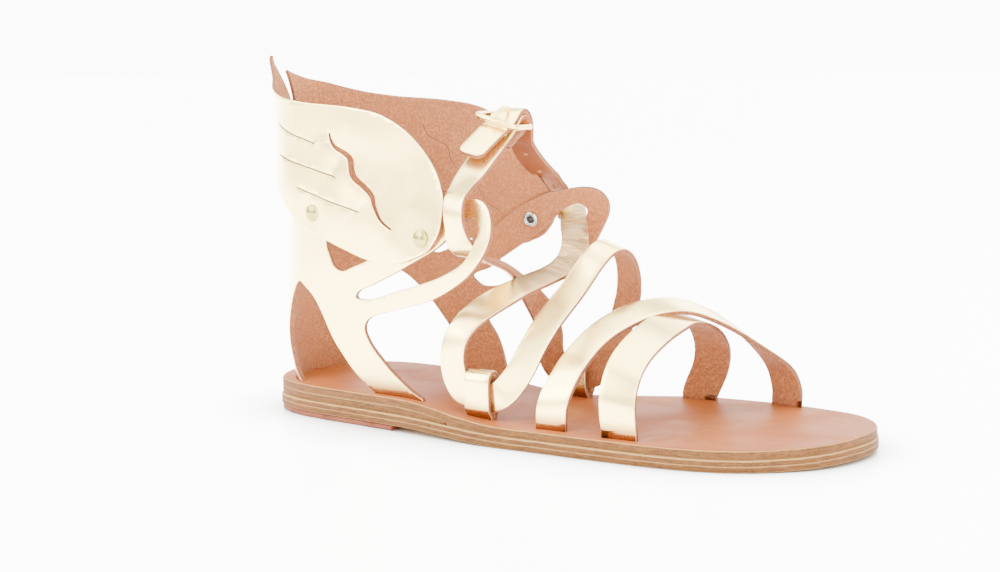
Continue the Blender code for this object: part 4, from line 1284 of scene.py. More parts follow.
def keep_part(thing, place, direction):
    """Cuts a solid by a plane, keeps the part behind it and closes the cut."""
    form = bmesh.new()
    form.from_mesh(thing.data)
    everything = form.verts[:] + form.edges[:] + form.faces[:]
    result = bmesh.ops.bisect_plane(
        form, geom=everything, plane_co=place, plane_no=direction, clear_outer=True
    )
    rim = [item for item in result["geom_cut"] if isinstance(item, bmesh.types.BMEdge)]
    filled = bmesh.ops.edgeloop_fill(form, edges=rim)
    for face in filled["faces"]:
        face.material_index = 1
    bmesh.ops.recalc_face_normals(form, faces=form.faces)
    form.to_mesh(thing.data)
    form.free()
    thing.data.set_sharp_from_angle(angle=math.radians(40))


def slot_cutters():
    """Cutters for every slot of the insole: strap feet, sole loops and harness feet."""
    cutters = []
    for rows, wide in ((OVER_STRAP, OVER_STRAP_WIDTH), (UNDER_STRAP, UNDER_STRAP_WIDTH)):
        for row in (rows[1], rows[-2]):
            place = on_foot(*row[:3])
            low = Vector((place.x, place.y, insole_bottom(place.x) - 1 * MM))
            high = Vector((place.x, place.y, insole_top(place.x) + 2 * MM))
            turn = math.radians(row[3])
            cutters.append(plain_block([low, high], Vector((math.cos(turn), math.sin(turn), 0)),
                                       wide + CLEARANCE, STRAP_THICKNESS + CLEARANCE))
    for _, along, across in SOLE_LOOPS:
        x = along * SOLE_LENGTH
        low = Vector((x, across * BALL_WIDTH, insole_bottom(x) - 1 * MM))
        high = Vector((x, across * BALL_WIDTH, insole_top(x) + 2 * MM))
        cutters.append(plain_block([low, high], Vector((1, 0, 0)), SOLE_LOOP_WIDTH + CLEARANCE,
                                   2 * STRAP_THICKNESS + 2 * CLEARANCE))
    thickness = HARNESS_THICKNESS + CLEARANCE
    low = insole_bottom(0.0) - 2 * MM
    high = insole_top(0.0) + 1.0 * MM
    back = REAR_OPENING[0][0] * HARNESS_REACH
    feet = [(-back, back)]
    for side in (-1.0, 1.0):
        rear = one_side(REAR_OPENING, side)[-1][0] * HARNESS_REACH
        front = one_side(LEG_AND_EYE, side)[0][0] * HARNESS_REACH
        feet.append((min(side * rear, side * front), max(side * rear, side * front)))
    for start, end in feet:
        count = max(round((end - start) / (1.5 * MM)), 1)
        points = []
        for k in range(count + 1):
            around = start + (end - start) * k / count
            for height in (low, high):
                normal = form_normal(harness_form, around, height)
                middle = on_form(harness_form, around, height)
                points.append(middle + normal * thickness / 2)
                points.append(middle - normal * thickness / 2)
        faces = [(0, 1, 3, 2), (4 * count, 4 * count + 1, 4 * count + 3, 4 * count + 2)]
        for k in range(count):
            for a, b in ((0, 1), (1, 3), (3, 2), (2, 0)):
                faces.append((4 * k + a, 4 * k + b, 4 * k + 4 + b, 4 * k + 4 + a))
        cutters.append(new_piece("slot_cutter", closed_mesh("slot_cutter", points, faces)))
    return cutters


# Node building


def feed(tree, socket, value):
    """Gives a socket its value: a link from another socket, or a constant."""
    if isinstance(value, bpy.types.NodeSocket):
        tree.links.new(value, socket)
    elif socket.type == "RGBA":
        socket.default_value = (*value, 1.0)
    else:
        socket.default_value = value


def add_node(tree, kind, values=None, **settings):
    """Adds a node with its settings, then gives its named sockets their values."""
    made = tree.nodes.new(kind)
    for name, value in settings.items():
        setattr(made, name, value)
    for name, value in (values or {}).items():
        feed(tree, made.inputs[name], value)
    return made


def calculate(tree, operation, *values, kind="ShaderNodeMath", output=0, **settings):
    made = add_node(tree, kind, operation=operation, **settings)
    for socket, value in zip(made.inputs, values):
        feed(tree, socket, value)
    return made.outputs[output]


def calculate_vector(tree, operation, *values, output=0):
    return calculate(tree, operation, *values, kind="ShaderNodeVectorMath", output=output)


def scaled(tree, value, share):
    return calculate(tree, "MULTIPLY", value, share)


def noise_node(tree, place, scale, detail, **more):
    """A noise pattern's values; further inputs go by their own names."""
    values = {"Vector": place, "Scale": scale, "Detail": detail}
    values.update((name.capitalize(), value) for name, value in more.items())
    return add_node(tree, "ShaderNodeTexNoise", values).outputs["Fac"]


def ramp(tree, value, start, end, low=0.0, high=1.0):
    """A smooth rise from low to high while the value goes from start to end."""
    made = add_node(tree, "ShaderNodeMapRange", {
        "Value": value, "From Min": start, "From Max": end, "To Min": low, "To Max": high,
    }, interpolation_type="SMOOTHSTEP")
    return made.outputs["Result"]


def mixed(tree, share, first, second):
    made = add_node(tree, "ShaderNodeMix", data_type="RGBA")
    for index, value in ((0, share), (6, first), (7, second)):
        feed(tree, made.inputs[index], value)
    return made.outputs[2]


def shader_group(name, inputs, outputs):
    """An empty shader node group with named inputs and outputs."""
    group = bpy.data.node_groups.new(name, "ShaderNodeTree")
    for label, kind, value in inputs:
        socket = group.interface.new_socket(label, in_out="INPUT", socket_type="NodeSocket" + kind)
        if value is not None:
            socket.default_value = value
    for label, kind in outputs:
        group.interface.new_socket(label, in_out="OUTPUT", socket_type="NodeSocket" + kind)
    entry = group.nodes.new("NodeGroupInput").outputs
    result = group.nodes.new("NodeGroupOutput").inputs
    return group, entry, result


def place_group(tree, group, values):
    return add_node(tree, "ShaderNodeGroup", values, node_tree=group).outputs


# Effects that several finishes share


def grain_group():
    """Fine pebbled grain and slow mottling of smooth leather."""
    tree, entry, result = shader_group(
        "leather_grain", (("Place", "Vector", None), ("Cell Size", "Float", 0.0006)),
        (("Height", "Float"), ("Mottle", "Float")),
    )
    place = entry["Place"]
    rate = calculate(tree, "DIVIDE", 1.0, entry["Cell Size"])
    pebble = add_node(tree, "ShaderNodeTexVoronoi", {"Vector": place, "Scale": rate}, feature="SMOOTH_F1")
    fine = noise_node(tree, place, rate, 3.0)
    cloud = noise_node(tree, place, scaled(tree, rate, 0.03), 3.0)
    height = calculate(tree, "MULTIPLY_ADD", pebble.outputs["Distance"], 0.6, fine)
    feed(tree, result["Height"], height)
    feed(tree, result["Mottle"], ramp(tree, cloud, 0.32, 0.68))
    return tree


def nap_group():
    """Short brushed fibres of the leather's flesh side."""
    tree, entry, result = shader_group(
        "flesh_nap", (("Place", "Vector", None), ("Fibre", "Float", 0.0005)),
        (("Height", "Float"), ("Shade", "Float")),
    )
    rate = calculate(tree, "DIVIDE", 1.0, entry["Fibre"])
    tuft = noise_node(tree, entry["Place"], rate, 4.0, roughness=0.65, distortion=0.6)
    clump = add_node(tree, "ShaderNodeTexVoronoi", {
        "Vector": entry["Place"], "Scale": scaled(tree, rate, 0.55),
    }, feature="SMOOTH_F1")
    height = calculate(tree, "MULTIPLY_ADD", clump.outputs["Distance"], 0.5, tuft)
    feed(tree, result["Height"], height)
    feed(tree, result["Shade"], ramp(tree, height, 0.55, 0.95))
    return tree


def wrinkle_group():
    """Fine wrinkles across a strap where its foil is crumpled; Valley marks their hollows, where painted
    shade is laid.
    """
    tree, entry, result = shader_group(
        "foil_wrinkles",
        (("Flat", "Vector", None), ("Amount", "Float", 0.0), ("Spacing", "Float", 0.015)),
        (("Height", "Float"), ("Valley", "Float")),
    )
    rate = calculate(tree, "DIVIDE", 1.0, entry["Spacing"])
    stretched = calculate_vector(tree, "MULTIPLY", entry["Flat"], (1.0, 0.2, 1.0))
    bands = noise_node(tree, stretched, rate, 2.5, roughness=0.55, distortion=0.9)
    ridge = calculate(tree, "ABSOLUTE", calculate(tree, "SUBTRACT", bands, 0.5))
    valley = ramp(tree, ridge, 0.0, 0.07, 1.0, 0.0)
    height = calculate(tree, "SUBTRACT", ridge, valley)
    feed(tree, result["Height"], scaled(tree, height, entry["Amount"]))
    feed(tree, result["Valley"], scaled(tree, valley, entry["Amount"]))
    return tree


def cut_edge_group():
    """A raw cut edge: a light line under the finished face, then brown fibres."""
    tree, entry, result = shader_group(
        "raw_cut_edge", (("Place", "Vector", None), ("Depth", "Float", 0.5)),
        (("Light", "Float"), ("Fibre", "Float"), ("Height", "Float")),
    )
    fibre = noise_node(tree, entry["Place"], 1900.0, 3.0, roughness=0.6)
    wander = noise_node(tree, entry["Place"], 260.0, 1.0)
    shifted = calculate(tree, "MULTIPLY_ADD", wander, 0.14, entry["Depth"])
    top_line = ramp(tree, shifted, 0.86, 0.98)
    low_line = ramp(tree, shifted, 0.12, 0.20, 0.35, 0.0)
    feed(tree, result["Light"], calculate(tree, "MAXIMUM", top_line, low_line))
    feed(tree, result["Fibre"], ramp(tree, fibre, 0.35, 0.65))
    feed(tree, result["Height"], fibre)
    return tree


def handling_group():
    """Faint smudges and dust from handling: where gloss changes a little."""
    tree, entry, result = shader_group(
        "handling_marks", (("Place", "Vector", None), ("Size", "Float", 0.012)), (("Smudge", "Float"),)
    )
    rate = calculate(tree, "DIVIDE", 1.0, entry["Size"])
    marks = noise_node(tree, entry["Place"], rate, 5.0, roughness=0.6, distortion=0.4)
    feed(tree, result["Smudge"], ramp(tree, marks, 0.42, 0.70))
    return tree


def slit_shade_group():
    """A thin line of painted shade along a straight cut on the flat pattern."""
    tree, entry, result = shader_group(
        "painted_slit_shade", (("Flat", "Vector", None), ("From", "Vector", None), ("To", "Vector", None),
                          ("Width", "Float", 0.004)),
        (("Slit Shade", "Float"),),
    )
    shake = noise_node(tree, entry["Flat"], 22.0, 3.0)
    off = scaled(tree, calculate(tree, "SUBTRACT", shake, 0.5), 0.004)
    shift = add_node(tree, "ShaderNodeCombineXYZ", {"X": off, "Y": off}).outputs[0]
    moved = calculate_vector(tree, "ADD", entry["Flat"], shift)
    reach = calculate_vector(tree, "SUBTRACT", entry["To"], entry["From"])
    away = calculate_vector(tree, "SUBTRACT", moved, entry["From"])
    along = calculate_vector(tree, "DOT_PRODUCT", away, reach, output=1)
    full = calculate_vector(tree, "DOT_PRODUCT", reach, reach, output=1)
    share = calculate(tree, "DIVIDE", along, full, use_clamp=True)
    nearest = add_node(tree, "ShaderNodeVectorMath", {"Scale": share}, operation="SCALE")
    feed(tree, nearest.inputs[0], reach)
    gap = calculate_vector(tree, "DISTANCE", away, nearest.outputs[0], output=1)
    line = calculate(tree, "DIVIDE", gap, entry["Width"])
    feed(tree, result["Slit Shade"], ramp(tree, line, 0.5, 1.6, 1.0, 0.0))
    return tree


# Finishes


def new_finish(name):
    """A material with its tree, its Principled node and the places a pattern can follow."""
    finish = bpy.data.materials.new(name)
    finish.use_nodes = True
    tree = finish.node_tree
    surface = tree.nodes["Principled BSDF"]
    place = tree.nodes.new("ShaderNodeTexCoord").outputs["Object"]
    return finish, tree, surface, place


def set_surface(tree, surface, values):
    for label, value in values.items():
        feed(tree, surface.inputs[label], value)


def add_relief(tree, surface, height, strength, distance):
    bump = add_node(tree, "ShaderNodeBump", {"Strength": strength, "Distance": distance, "Height": height})
    feed(tree, surface.inputs["Normal"], bump.outputs["Normal"])


def surface_number(tree, name):
    return add_node(tree, "ShaderNodeAttribute", attribute_name=name).outputs["Fac"]


def painted_sole_reflection(tree, place):
    """Painted reflection: one where the gold stands on the insole and mirrors it, fading out above it."""
    axes = add_node(tree, "ShaderNodeSeparateXYZ", {"Vector": place})
    rise = ramp(tree, axes.outputs["X"], -0.055, 0.012, 0.0128, 0.0072)
    above = calculate(tree, "SUBTRACT", axes.outputs["Z"], rise)
    return ramp(tree, above, 0.0025, 0.0085, 0.9, 0.0)


def gold_leather(effects):
    """Champagne foil on smooth leather: glossy, with fine grain and wrinkles at hard bends."""
    finish, tree, surface, place = new_finish("gold_leather_face")
    flat = add_node(tree, "ShaderNodeUVMap", uv_map="flat_pattern").outputs["UV"]
    grain = place_group(tree, effects["grain"], {"Place": place, "Cell Size": 0.0007})
    marks = place_group(tree, effects["handling"], {"Place": place, "Size": 0.014})
    amount = surface_number(tree, "crumple")
    folds = place_group(tree, effects["wrinkle"], {"Flat": flat, "Amount": amount, "Spacing": 0.03})
    painted_shading = surface_number(tree, "painted_shading")
    colour = mixed(tree, scaled(tree, grain["Mottle"], 0.35), CHAMPAGNE, CHAMPAGNE_DEEP)
    # Painted shade and painted reflection: the gold is browned where the strap lies in shade or mirrors
    # brown leather.
    colour = mixed(tree, scaled(tree, painted_shading, 0.95), colour, PAINTED_SHADING_FOIL)
    # Painted shade in the hollows of the fine wrinkles.
    colour = mixed(tree, scaled(tree, folds["Valley"], 0.85), colour, WRINKLE_VALLEY_SHADE)
    # Painted reflection of the brown insole on the gold close above it.
    colour = mixed(tree, painted_sole_reflection(tree, place), colour, SOLE_REFLECTION_PAINT)
    # Painted shade: each feather slit gets a thin dark line, as if shade filled its gap.
    for line in FEATHER_SLITS:
        for start, end in zip(line, line[1:]):
            slit = place_group(tree, effects["slit_shade"], {
                "Flat": flat, "From": (-start[0] * 0.01, start[1] * 0.01, 0.0),
                "To": (-end[0] * 0.01, end[1] * 0.01, 0.0), "Width": 0.0034,
            })
            colour = mixed(tree, slit["Slit Shade"], colour, SLIT_SHADE)
    gloss = calculate(tree, "MULTIPLY_ADD", marks["Smudge"], 0.07, 0.23)
    for share in (painted_shading, amount):
        gloss = calculate(tree, "MULTIPLY_ADD", share, 0.08, gloss)
    set_surface(tree, surface, {
        "Base Color": colour, "Roughness": gloss, "Metallic": 0.95,
        "Coat Weight": 0.2, "Coat Roughness": 0.15,
    })
    height = calculate(tree, "MULTIPLY_ADD", grain["Height"], 0.10, folds["Height"])
    add_relief(tree, surface, height, 0.35, 0.0004)
    return finish


def flesh_leather(effects):
    """Inside of the leather: pinkish brown nap."""
    finish, tree, surface, place = new_finish("flesh_side_nap")
    nap = place_group(tree, effects["nap"], {"Place": place, "Fibre": 0.00045})
    marks = place_group(tree, effects["handling"], {"Place": place, "Size": 0.02})
    colour = mixed(tree, nap["Shade"], FLESH_DARK, FLESH_LIGHT)
    colour = mixed(tree, scaled(tree, marks["Smudge"], 0.35), colour, FLESH_WORN)
    set_surface(tree, surface, {
        "Base Color": colour, "Roughness": 0.92, "Sheen Weight": 0.05, "Sheen Roughness": 0.5,
        "Specular IOR Level": 0.12,
    })
    add_relief(tree, surface, nap["Height"], 0.9, 0.0005)
    return finish


def grained_finish(effects, name, cell, marks_size, colours, worn, rough, rough_step, gloss, relief):
    """Grained leather or rubber: two mottled colours and a third where hands have worn it."""
    finish, tree, surface, place = new_finish(name)
    grain = place_group(tree, effects["grain"], {"Place": place, "Cell Size": cell})
    marks = place_group(tree, effects["handling"], {"Place": place, "Size": marks_size})
    colour = mixed(tree, grain["Mottle"], colours[0], colours[1])
    colour = mixed(tree, scaled(tree, marks["Smudge"], worn), colour, colours[2])
    if rough_step:
        rough = calculate(tree, "MULTIPLY_ADD", marks["Smudge"], rough_step, rough)
    set_surface(tree, surface, {"Base Color": colour, "Roughness": rough, "Specular IOR Level": gloss})
    add_relief(tree, surface, grain["Height"], *relief)
    return finish


def smooth_back(effects):
    """Inside of the buckle end of the strap: smooth, a little shiny and orange brown."""
    return grained_finish(effects, "smooth_strap_back", 0.0009, 0.02,
                          (SMOOTH_BACK_DARK, SMOOTH_BACK_LIGHT, TAN_LIGHT), 0.35, 0.6, 0.0, 0.18,
                          (0.15, 0.0003))


def tan_leather(effects):
    """Top of the insole: smooth vegetable-tanned leather with a soft gloss."""
    return grained_finish(effects, "tan_insole_face", 0.0009, 0.03, (TAN_MID, TAN_LIGHT, TAN_DEEP),
                          0.45, 0.46, 0.12, 0.06, (0.16, 0.0003))


def lift_rubber(effects):
    """Reddish rubber of the thin heel lift."""
    return grained_finish(effects, "red_heel_rubber", 0.0011, 0.006,
                          (RUBBER_MID, RUBBER_LIGHT, RUBBER_DARK), 0.5, 0.8, 0.0, 0.3, (0.7, 0.0006))


def paint_smooth_back(strap, middles, places, finish):
    """Gives the flesh side of the buckle end its smooth finish."""
    start, end = SMOOTH_BACK_ROWS
    chosen = [spot for spot, place in zip(middles, places) if start <= place <= end]
    mesh = strap.data
    mesh.materials.append(finish)
    smooth_slot = len(mesh.materials) - 1
    for face in mesh.polygons:
        if face.material_index != 2:
            continue
        near = min((middle - face.center).length for middle in chosen)
        if near < LACE_WIDTH * 0.5:
            face.material_index = smooth_slot


def edge_leather(effects):
    """Raw cut edge of the straps and plates."""
    finish, tree, surface, place = new_finish("raw_leather_edge")
    depth = surface_number(tree, "depth_share")
    cut_edge = place_group(tree, effects["edge"], {"Place": place, "Depth": depth})
    colour = mixed(tree, cut_edge["Fibre"], EDGE_DARK, EDGE_MID)
    colour = mixed(tree, cut_edge["Light"], colour, EDGE_LIGHT)
    set_surface(tree, surface, {"Base Color": colour, "Roughness": 0.8, "Specular IOR Level": 0.15})
    add_relief(tree, surface, cut_edge["Height"], 0.5, 0.0003)
    return finish


def stacked_leather(effects, name, middle_line):
    """Side of a sole layer: burnished fibres with light lines at its rims, partly burnished colour and
    partly a painted highlight along the top rim.
    """
    finish, tree, surface, place = new_finish(name)
    level = surface_number(tree, "layer_share")
    stretched = calculate_vector(tree, "MULTIPLY", place, (1.0, 1.0, 7.0))
    streak = noise_node(tree, stretched, 170.0, 5.0, roughness=0.62, distortion=0.5)
    fleck = noise_node(tree, stretched, 900.0, 3.0, roughness=0.7)
    marks = place_group(tree, effects["handling"], {"Place": place, "Size": 0.02})
    colour = mixed(tree, ramp(tree, streak, 0.36, 0.66), STACK_DARK, STACK_MID)
    colour = mixed(tree, ramp(tree, fleck, 0.45, 0.75, 0.0, 0.7), colour, STACK_LIGHT)
    colour = mixed(tree, scaled(tree, marks["Smudge"], 0.3), colour, STACK_WARM)
    shaken = calculate(tree, "MULTIPLY_ADD", streak, 0.12, level)
    rim = calculate(tree, "MAXIMUM", ramp(tree, shaken, 0.90, 1.0),
                    ramp(tree, shaken, 0.10, 0.17, 0.75, 0.0))
    if middle_line:
        near_middle = calculate(tree, "ABSOLUTE", calculate(tree, "SUBTRACT", shaken, middle_line))
        rim = calculate(tree, "MAXIMUM", rim, ramp(tree, near_middle, 0.015, 0.06, 0.6, 0.0))
    # Light rim lines: burnished colour, and along the top rim a painted highlight.
    colour = mixed(tree, rim, colour, STACK_RIM_BURNISH_AND_HIGHLIGHT)
    set_surface(tree, surface, {"Base Color": colour, "Roughness": 0.7, "Specular IOR Level": 0.15})
    add_relief(tree, surface, calculate(tree, "ADD", streak, fleck), 0.45, 0.0005)
    return finish


def polished_metal(effects, name, bright, dull, gloss):
    """Plated metal with faint smudges and fine scratches."""
    finish, tree, surface, place = new_finish(name)
    marks = place_group(tree, effects["handling"], {"Place": place, "Size": 0.003})
    set_surface(tree, surface, {
        "Base Color": mixed(tree, marks["Smudge"], bright, dull), "Metallic": 1.0,
        "Roughness": calculate(tree, "MULTIPLY_ADD", marks["Smudge"], 0.12, gloss),
    })
    add_relief(tree, surface, noise_node(tree, place, 2600.0, 2.0), 0.08, 0.0002)
    return finish


def painted_bore_shade(effects):
    """Painted shade: a dark disc standing for the shaded inside of a rivet's tube."""
    finish, tree, surface, place = new_finish("rivet_bore_painted_shade")
    marks = place_group(tree, effects["handling"], {"Place": place, "Size": 0.002})
    colour = mixed(tree, marks["Smudge"], (0.012, 0.010, 0.009), (0.03, 0.025, 0.02))
    set_surface(tree, surface, {"Base Color": colour, "Roughness": 0.6})
    return finish


# Hardware, made by Geometry Nodes


def geometry_tree(name, inputs):
    """A Geometry Nodes tree with named inputs."""
    tree = bpy.data.node_groups.new(name, "GeometryNodeTree")
    tree.interface.new_socket("Geometry", in_out="INPUT", socket_type="NodeSocketGeometry")
    for label, value in inputs:
        socket = tree.interface.new_socket(label, in_out="INPUT", socket_type="NodeSocketFloat")
        socket.default_value = value
    tree.interface.new_socket("Geometry", in_out="OUTPUT", socket_type="NodeSocketGeometry")
    return tree, tree.nodes.new("NodeGroupInput").outputs


def geometry_step(tree, kind, values, **settings):
    """Adds a Geometry node by the end of its type's name and gives its first output."""
    return add_node(tree, "GeometryNode" + kind, values, **settings).outputs[0]


def vector_of(tree, **parts):
    return add_node(tree, "ShaderNodeCombineXYZ", parts).outputs[0]


def end_tree(tree, geometry, finishes):
    """Ends a tree: real geometry, smooth, with a finish for each marked part."""
    real = geometry_step(tree, "RealizeInstances", {"Geometry": geometry})
    real = geometry_step(tree, "SetShadeSmooth", {"Geometry": real})
    for mark, finish in finishes:
        step = add_node(tree, "GeometryNodeSetMaterial", {"Geometry": real, "Material": finish})
        if mark:
            marked = add_node(tree, "GeometryNodeInputNamedAttribute", {"Name": mark}, data_type="BOOLEAN")
            tree.links.new(marked.outputs["Attribute"], step.inputs["Selection"])
        real = step.outputs[0]
    tree.links.new(real, tree.nodes.new("NodeGroupOutput").inputs[0])


def run_tree(name, source, tree, values):
    """Evaluates a tree on a source mesh and keeps the result as a plain mesh."""
    thing = new_piece(name, source)
    modifier = thing.modifiers.new("make", "NODES")
    modifier.node_group = tree
    for item in tree.interface.items_tree:
        if item.item_type == "SOCKET" and item.in_out == "INPUT" and item.name in values:
            modifier[item.identifier] = values[item.name]
    bpy.context.view_layer.update()
    evaluated = thing.evaluated_get(bpy.context.evaluated_depsgraph_get())
    made = bpy.data.meshes.new_from_object(evaluated)
    made.name = name
    thing.modifiers.clear()
    thing.data = made
    return thing


def marked(tree, geometry, name):
    return geometry_step(tree, "StoreNamedAttribute", {"Geometry": geometry, "Name": name, "Value": True},
                         data_type="BOOLEAN", domain="FACE")


def rivet_tree(cap, ring, bore_shade):
    """A domed rivet about Z: cap above the seat, shank, rolled ring and a dark disc of painted shade in
    its bore below.
    """
    tree, entry = geometry_tree("domed_rivet", (
        ("Cap Radius", 0.0034), ("Cap Height", 0.0015), ("Shank Radius", 0.0015),
        ("Ring Radius", 0.0031), ("Bore Radius", 0.0017), ("Grip", 0.004),
    ))
    ball = geometry_step(tree, "MeshUVSphere", {"Segments": 40, "Rings": 20, "Radius": 1.0})
    size = vector_of(tree, X=entry["Cap Radius"], Y=entry["Cap Radius"], Z=entry["Cap Height"])
    dome = geometry_step(tree, "Transform", {"Geometry": ball, "Scale": size})
    where = geometry_step(tree, "InputPosition", {})
    parts = add_node(tree, "ShaderNodeSeparateXYZ", {"Vector": where}).outputs
    flat_low = calculate(tree, "MAXIMUM", parts["Z"], -0.0001)
    seated = vector_of(tree, X=parts["X"], Y=parts["Y"], Z=flat_low)
    dome = geometry_step(tree, "SetPosition", {"Geometry": dome, "Position": seated})

    shank = geometry_step(tree, "MeshCylinder", {
        "Vertices": ROUND_STEPS, "Radius": entry["Shank Radius"], "Depth": entry["Grip"],
    })
    down = vector_of(tree, Z=calculate(tree, "MULTIPLY", entry["Grip"], -0.5))
    shank = geometry_step(tree, "Transform", {"Geometry": shank, "Translation": down})

    outer, inner = entry["Ring Radius"], entry["Bore Radius"]
    middle = calculate(tree, "MULTIPLY", calculate(tree, "ADD", outer, inner), 0.5)
    roll = calculate(tree, "MULTIPLY", calculate(tree, "SUBTRACT", outer, inner), 0.5)
    circle = geometry_step(tree, "CurvePrimitiveCircle", {"Resolution": 40, "Radius": middle})
    section = geometry_step(tree, "CurvePrimitiveCircle", {"Resolution": 12, "Radius": roll})
    tube = geometry_step(tree, "CurveToMesh", {"Curve": circle, "Profile Curve": section})
    low = vector_of(tree, Z=calculate(tree, "MULTIPLY", entry["Grip"], -1.0))
    tube = geometry_step(tree, "Transform", {"Geometry": tube, "Translation": low})
    tube = marked(tree, tube, "ring_part")

    plug = geometry_step(tree, "MeshCylinder", {
        "Vertices": ROUND_STEPS, "Radius": inner, "Depth": 0.0003,
    })
    plug = geometry_step(tree, "Transform", {"Geometry": plug, "Translation": low})
    plug = marked(tree, plug, "bore_part")
    whole = tree.nodes.new("GeometryNodeJoinGeometry")
    for part in (dome, shank, tube, plug):
        tree.links.new(part, whole.inputs[0])
    end_tree(tree, whole.outputs[0], ((None, cap), ("ring_part", ring), ("bore_part", bore_shade)))
    return tree


def rod_tree(metal):
    """A round rod along the edges of its source."""
    tree, entry = geometry_tree("bent_rod", (("Radius", 0.001),))
    path = geometry_step(tree, "MeshToCurve", {"Mesh": entry["Geometry"]})
    section = geometry_step(tree, "CurvePrimitiveCircle", {"Resolution": 16, "Radius": entry["Radius"]})
    rod = geometry_step(tree, "CurveToMesh", {"Curve": path, "Profile Curve": section, "Fill Caps": True})
    end_tree(tree, rod, ((None, metal),))
    return tree


def line_mesh(name, points, closed):
    mesh = bpy.data.meshes.new(name)
    edges = [(k, k + 1) for k in range(len(points) - 1)]
    if closed:
        edges.append((len(points) - 1, 0))
    mesh.from_pydata([tuple(point) for point in points], edges, [])
    return mesh


def dressed_rivet(name, place, direction, tree):
    grip = 2 * CLEARANCE + WING_EASE + WING_THICKNESS + HARNESS_THICKNESS
    rivet = run_tree(name, bpy.data.meshes.new(name), tree, {
        "Cap Radius": RIVET_CAP_RADIUS, "Cap Height": RIVET_CAP_HEIGHT, "Shank Radius": RIVET_SHANK_RADIUS,
        "Ring Radius": RIVET_RING_RADIUS, "Bore Radius": RIVET_TUBE_RADIUS * 1.5, "Grip": grip,
    })
    seat = place + direction * (WING_THICKNESS / 2 - RIVET_SEAT_DEPTH)
    rivet.data.transform(Matrix.Translation(seat) @ direction.to_track_quat("Z", "Y").to_matrix().to_4x4())
    turn_outwards(rivet.data)
    return rivet


def frame_line():
    """Middle line of the buckle's rounded frame."""
    place, bar, reach = buckle_axes()
    half = BUCKLE_WIDTH / 2
    corner = BUCKLE_ROD * 1.4
    middles = []
    for side, way, start in ((1, 0, -90), (1, 1, 0), (-1, 1, 90), (-1, 0, 180)):
        centre = bar * side * (half - corner)
        centre += reach * (BUCKLE_LENGTH - corner if way else corner)
        for turn in range(0, 91, 9):
            angle = math.radians(start + turn)
            middles.append(place + centre + (bar * math.cos(angle) + reach * math.sin(angle)) * corner)
    return middles


def dressed_strap_rivet(metal):
    """The small flat-headed rivet through the folded end of the lacing strap."""
    place, bar, _ = buckle_axes()
    slope = math.radians(STRAP_SLOPE)
    down = Vector((0.0, -math.cos(slope), -math.sin(slope)))
    lift = Vector((0.0, -math.sin(slope), math.cos(slope)))
    site = place + down * STRAP_RIVET_ALONG + bar * STRAP_RIVET_ASIDE
    half = STRAP_THICKNESS + CLEARANCE * 2.5
    radius = STRAP_RIVET_RADIUS
    below = -half - CLEARANCE
    profile = []
    for turn in (85, 65, 45, 25, 0):
        angle = math.radians(turn)
        profile.append((radius * 2.1 * math.cos(angle), half + STRAP_RIVET_HEAD * 1.2 * math.sin(angle)))
    profile += [(radius, half), (radius, below), (radius * 2, below)]
    profile += [(radius * 2, below - STRAP_RIVET_HEAD * 0.6), (radius, below - STRAP_RIVET_HEAD)]
    points = round_rings(profile, ROUND_STEPS, lift, site)
    mesh = closed_mesh("strap_fold_rivet", points, tube_faces(len(profile), ROUND_STEPS))
    mesh.set_sharp_from_angle(angle=math.radians(40))
    return new_piece("strap_fold_rivet", mesh, metal)


# Stage, camera and light


def place_camera():
    """The photograph's view: eye place, right, up and backward directions in the shoe's axes."""
    eye = Vector((488.665, -608.709, 154.649)) * MM + ORIGIN
    right = Vector((0.84467, 0.53495, -0.01901))
    up = Vector((-0.05857, 0.12767, 0.99009))
    back = Vector((0.53207, -0.83518, 0.13917))
    lens = bpy.data.cameras.new("photo_view")
    lens.lens = 68.256
    lens.sensor_width = 36.0
    lens.clip_start = 0.01
    lens.clip_end = 50.0
    camera = bpy.data.objects.new("photo_view", lens)
    camera.matrix_world = Matrix((
        (right.x, up.x, back.x, eye.x),
        (right.y, up.y, back.y, eye.y),
        (right.z, up.z, back.z, eye.z),
        (0.0, 0.0, 0.0, 1.0),
    ))
    bpy.context.scene.collection.objects.link(camera)
    bpy.context.scene.camera = camera


def soft_light(name, place, aim, size, power, colour):
    light = bpy.data.lights.new(name, "AREA")
    light.shape = "RECTANGLE"
    light.size, light.size_y = size
    light.energy = power
    light.color = colour
    lamp = bpy.data.objects.new(name, light)
    lamp.location = place
    lamp.rotation_euler = (Vector(aim) - Vector(place)).to_track_quat("-Z", "Y").to_euler()
    bpy.context.scene.collection.objects.link(lamp)


def lay_floor():
    """A pale floor with a glow of its own, which fades close to the shoe as painted shadow."""
    half = 4.0
    corners = [(-half, -half, 0), (half, -half, 0), (half, half, 0), (-half, half, 0)]
    mesh = bpy.data.meshes.new("studio_floor")
    mesh.from_pydata(corners, [], [(0, 1, 2, 3)])
    finish, tree, surface, place = new_finish("pale_floor")
    colour = mixed(tree, noise_node(tree, place, 3.0, 2.0), (0.48, 0.48, 0.48), (0.52, 0.52, 0.52))
    set_surface(tree, surface, {
        "Base Color": colour, "Roughness": 0.3, "Specular IOR Level": 0.3,
        "Emission Color": (1.0, 0.995, 0.985),
    })
    # Painted shadow: occlusion dims the floor's glow near the shoe.
    unshadowed_share = add_node(tree, "ShaderNodeAmbientOcclusion", {"Distance": 0.04}).outputs["AO"]
    glow_with_painted_shadow = calculate(tree, "MULTIPLY", calculate(tree, "POWER", unshadowed_share, 2.4), 9.6)
    tree.links.new(glow_with_painted_shadow, surface.inputs["Emission Strength"])
    floor = new_piece("studio_floor", mesh, finish)


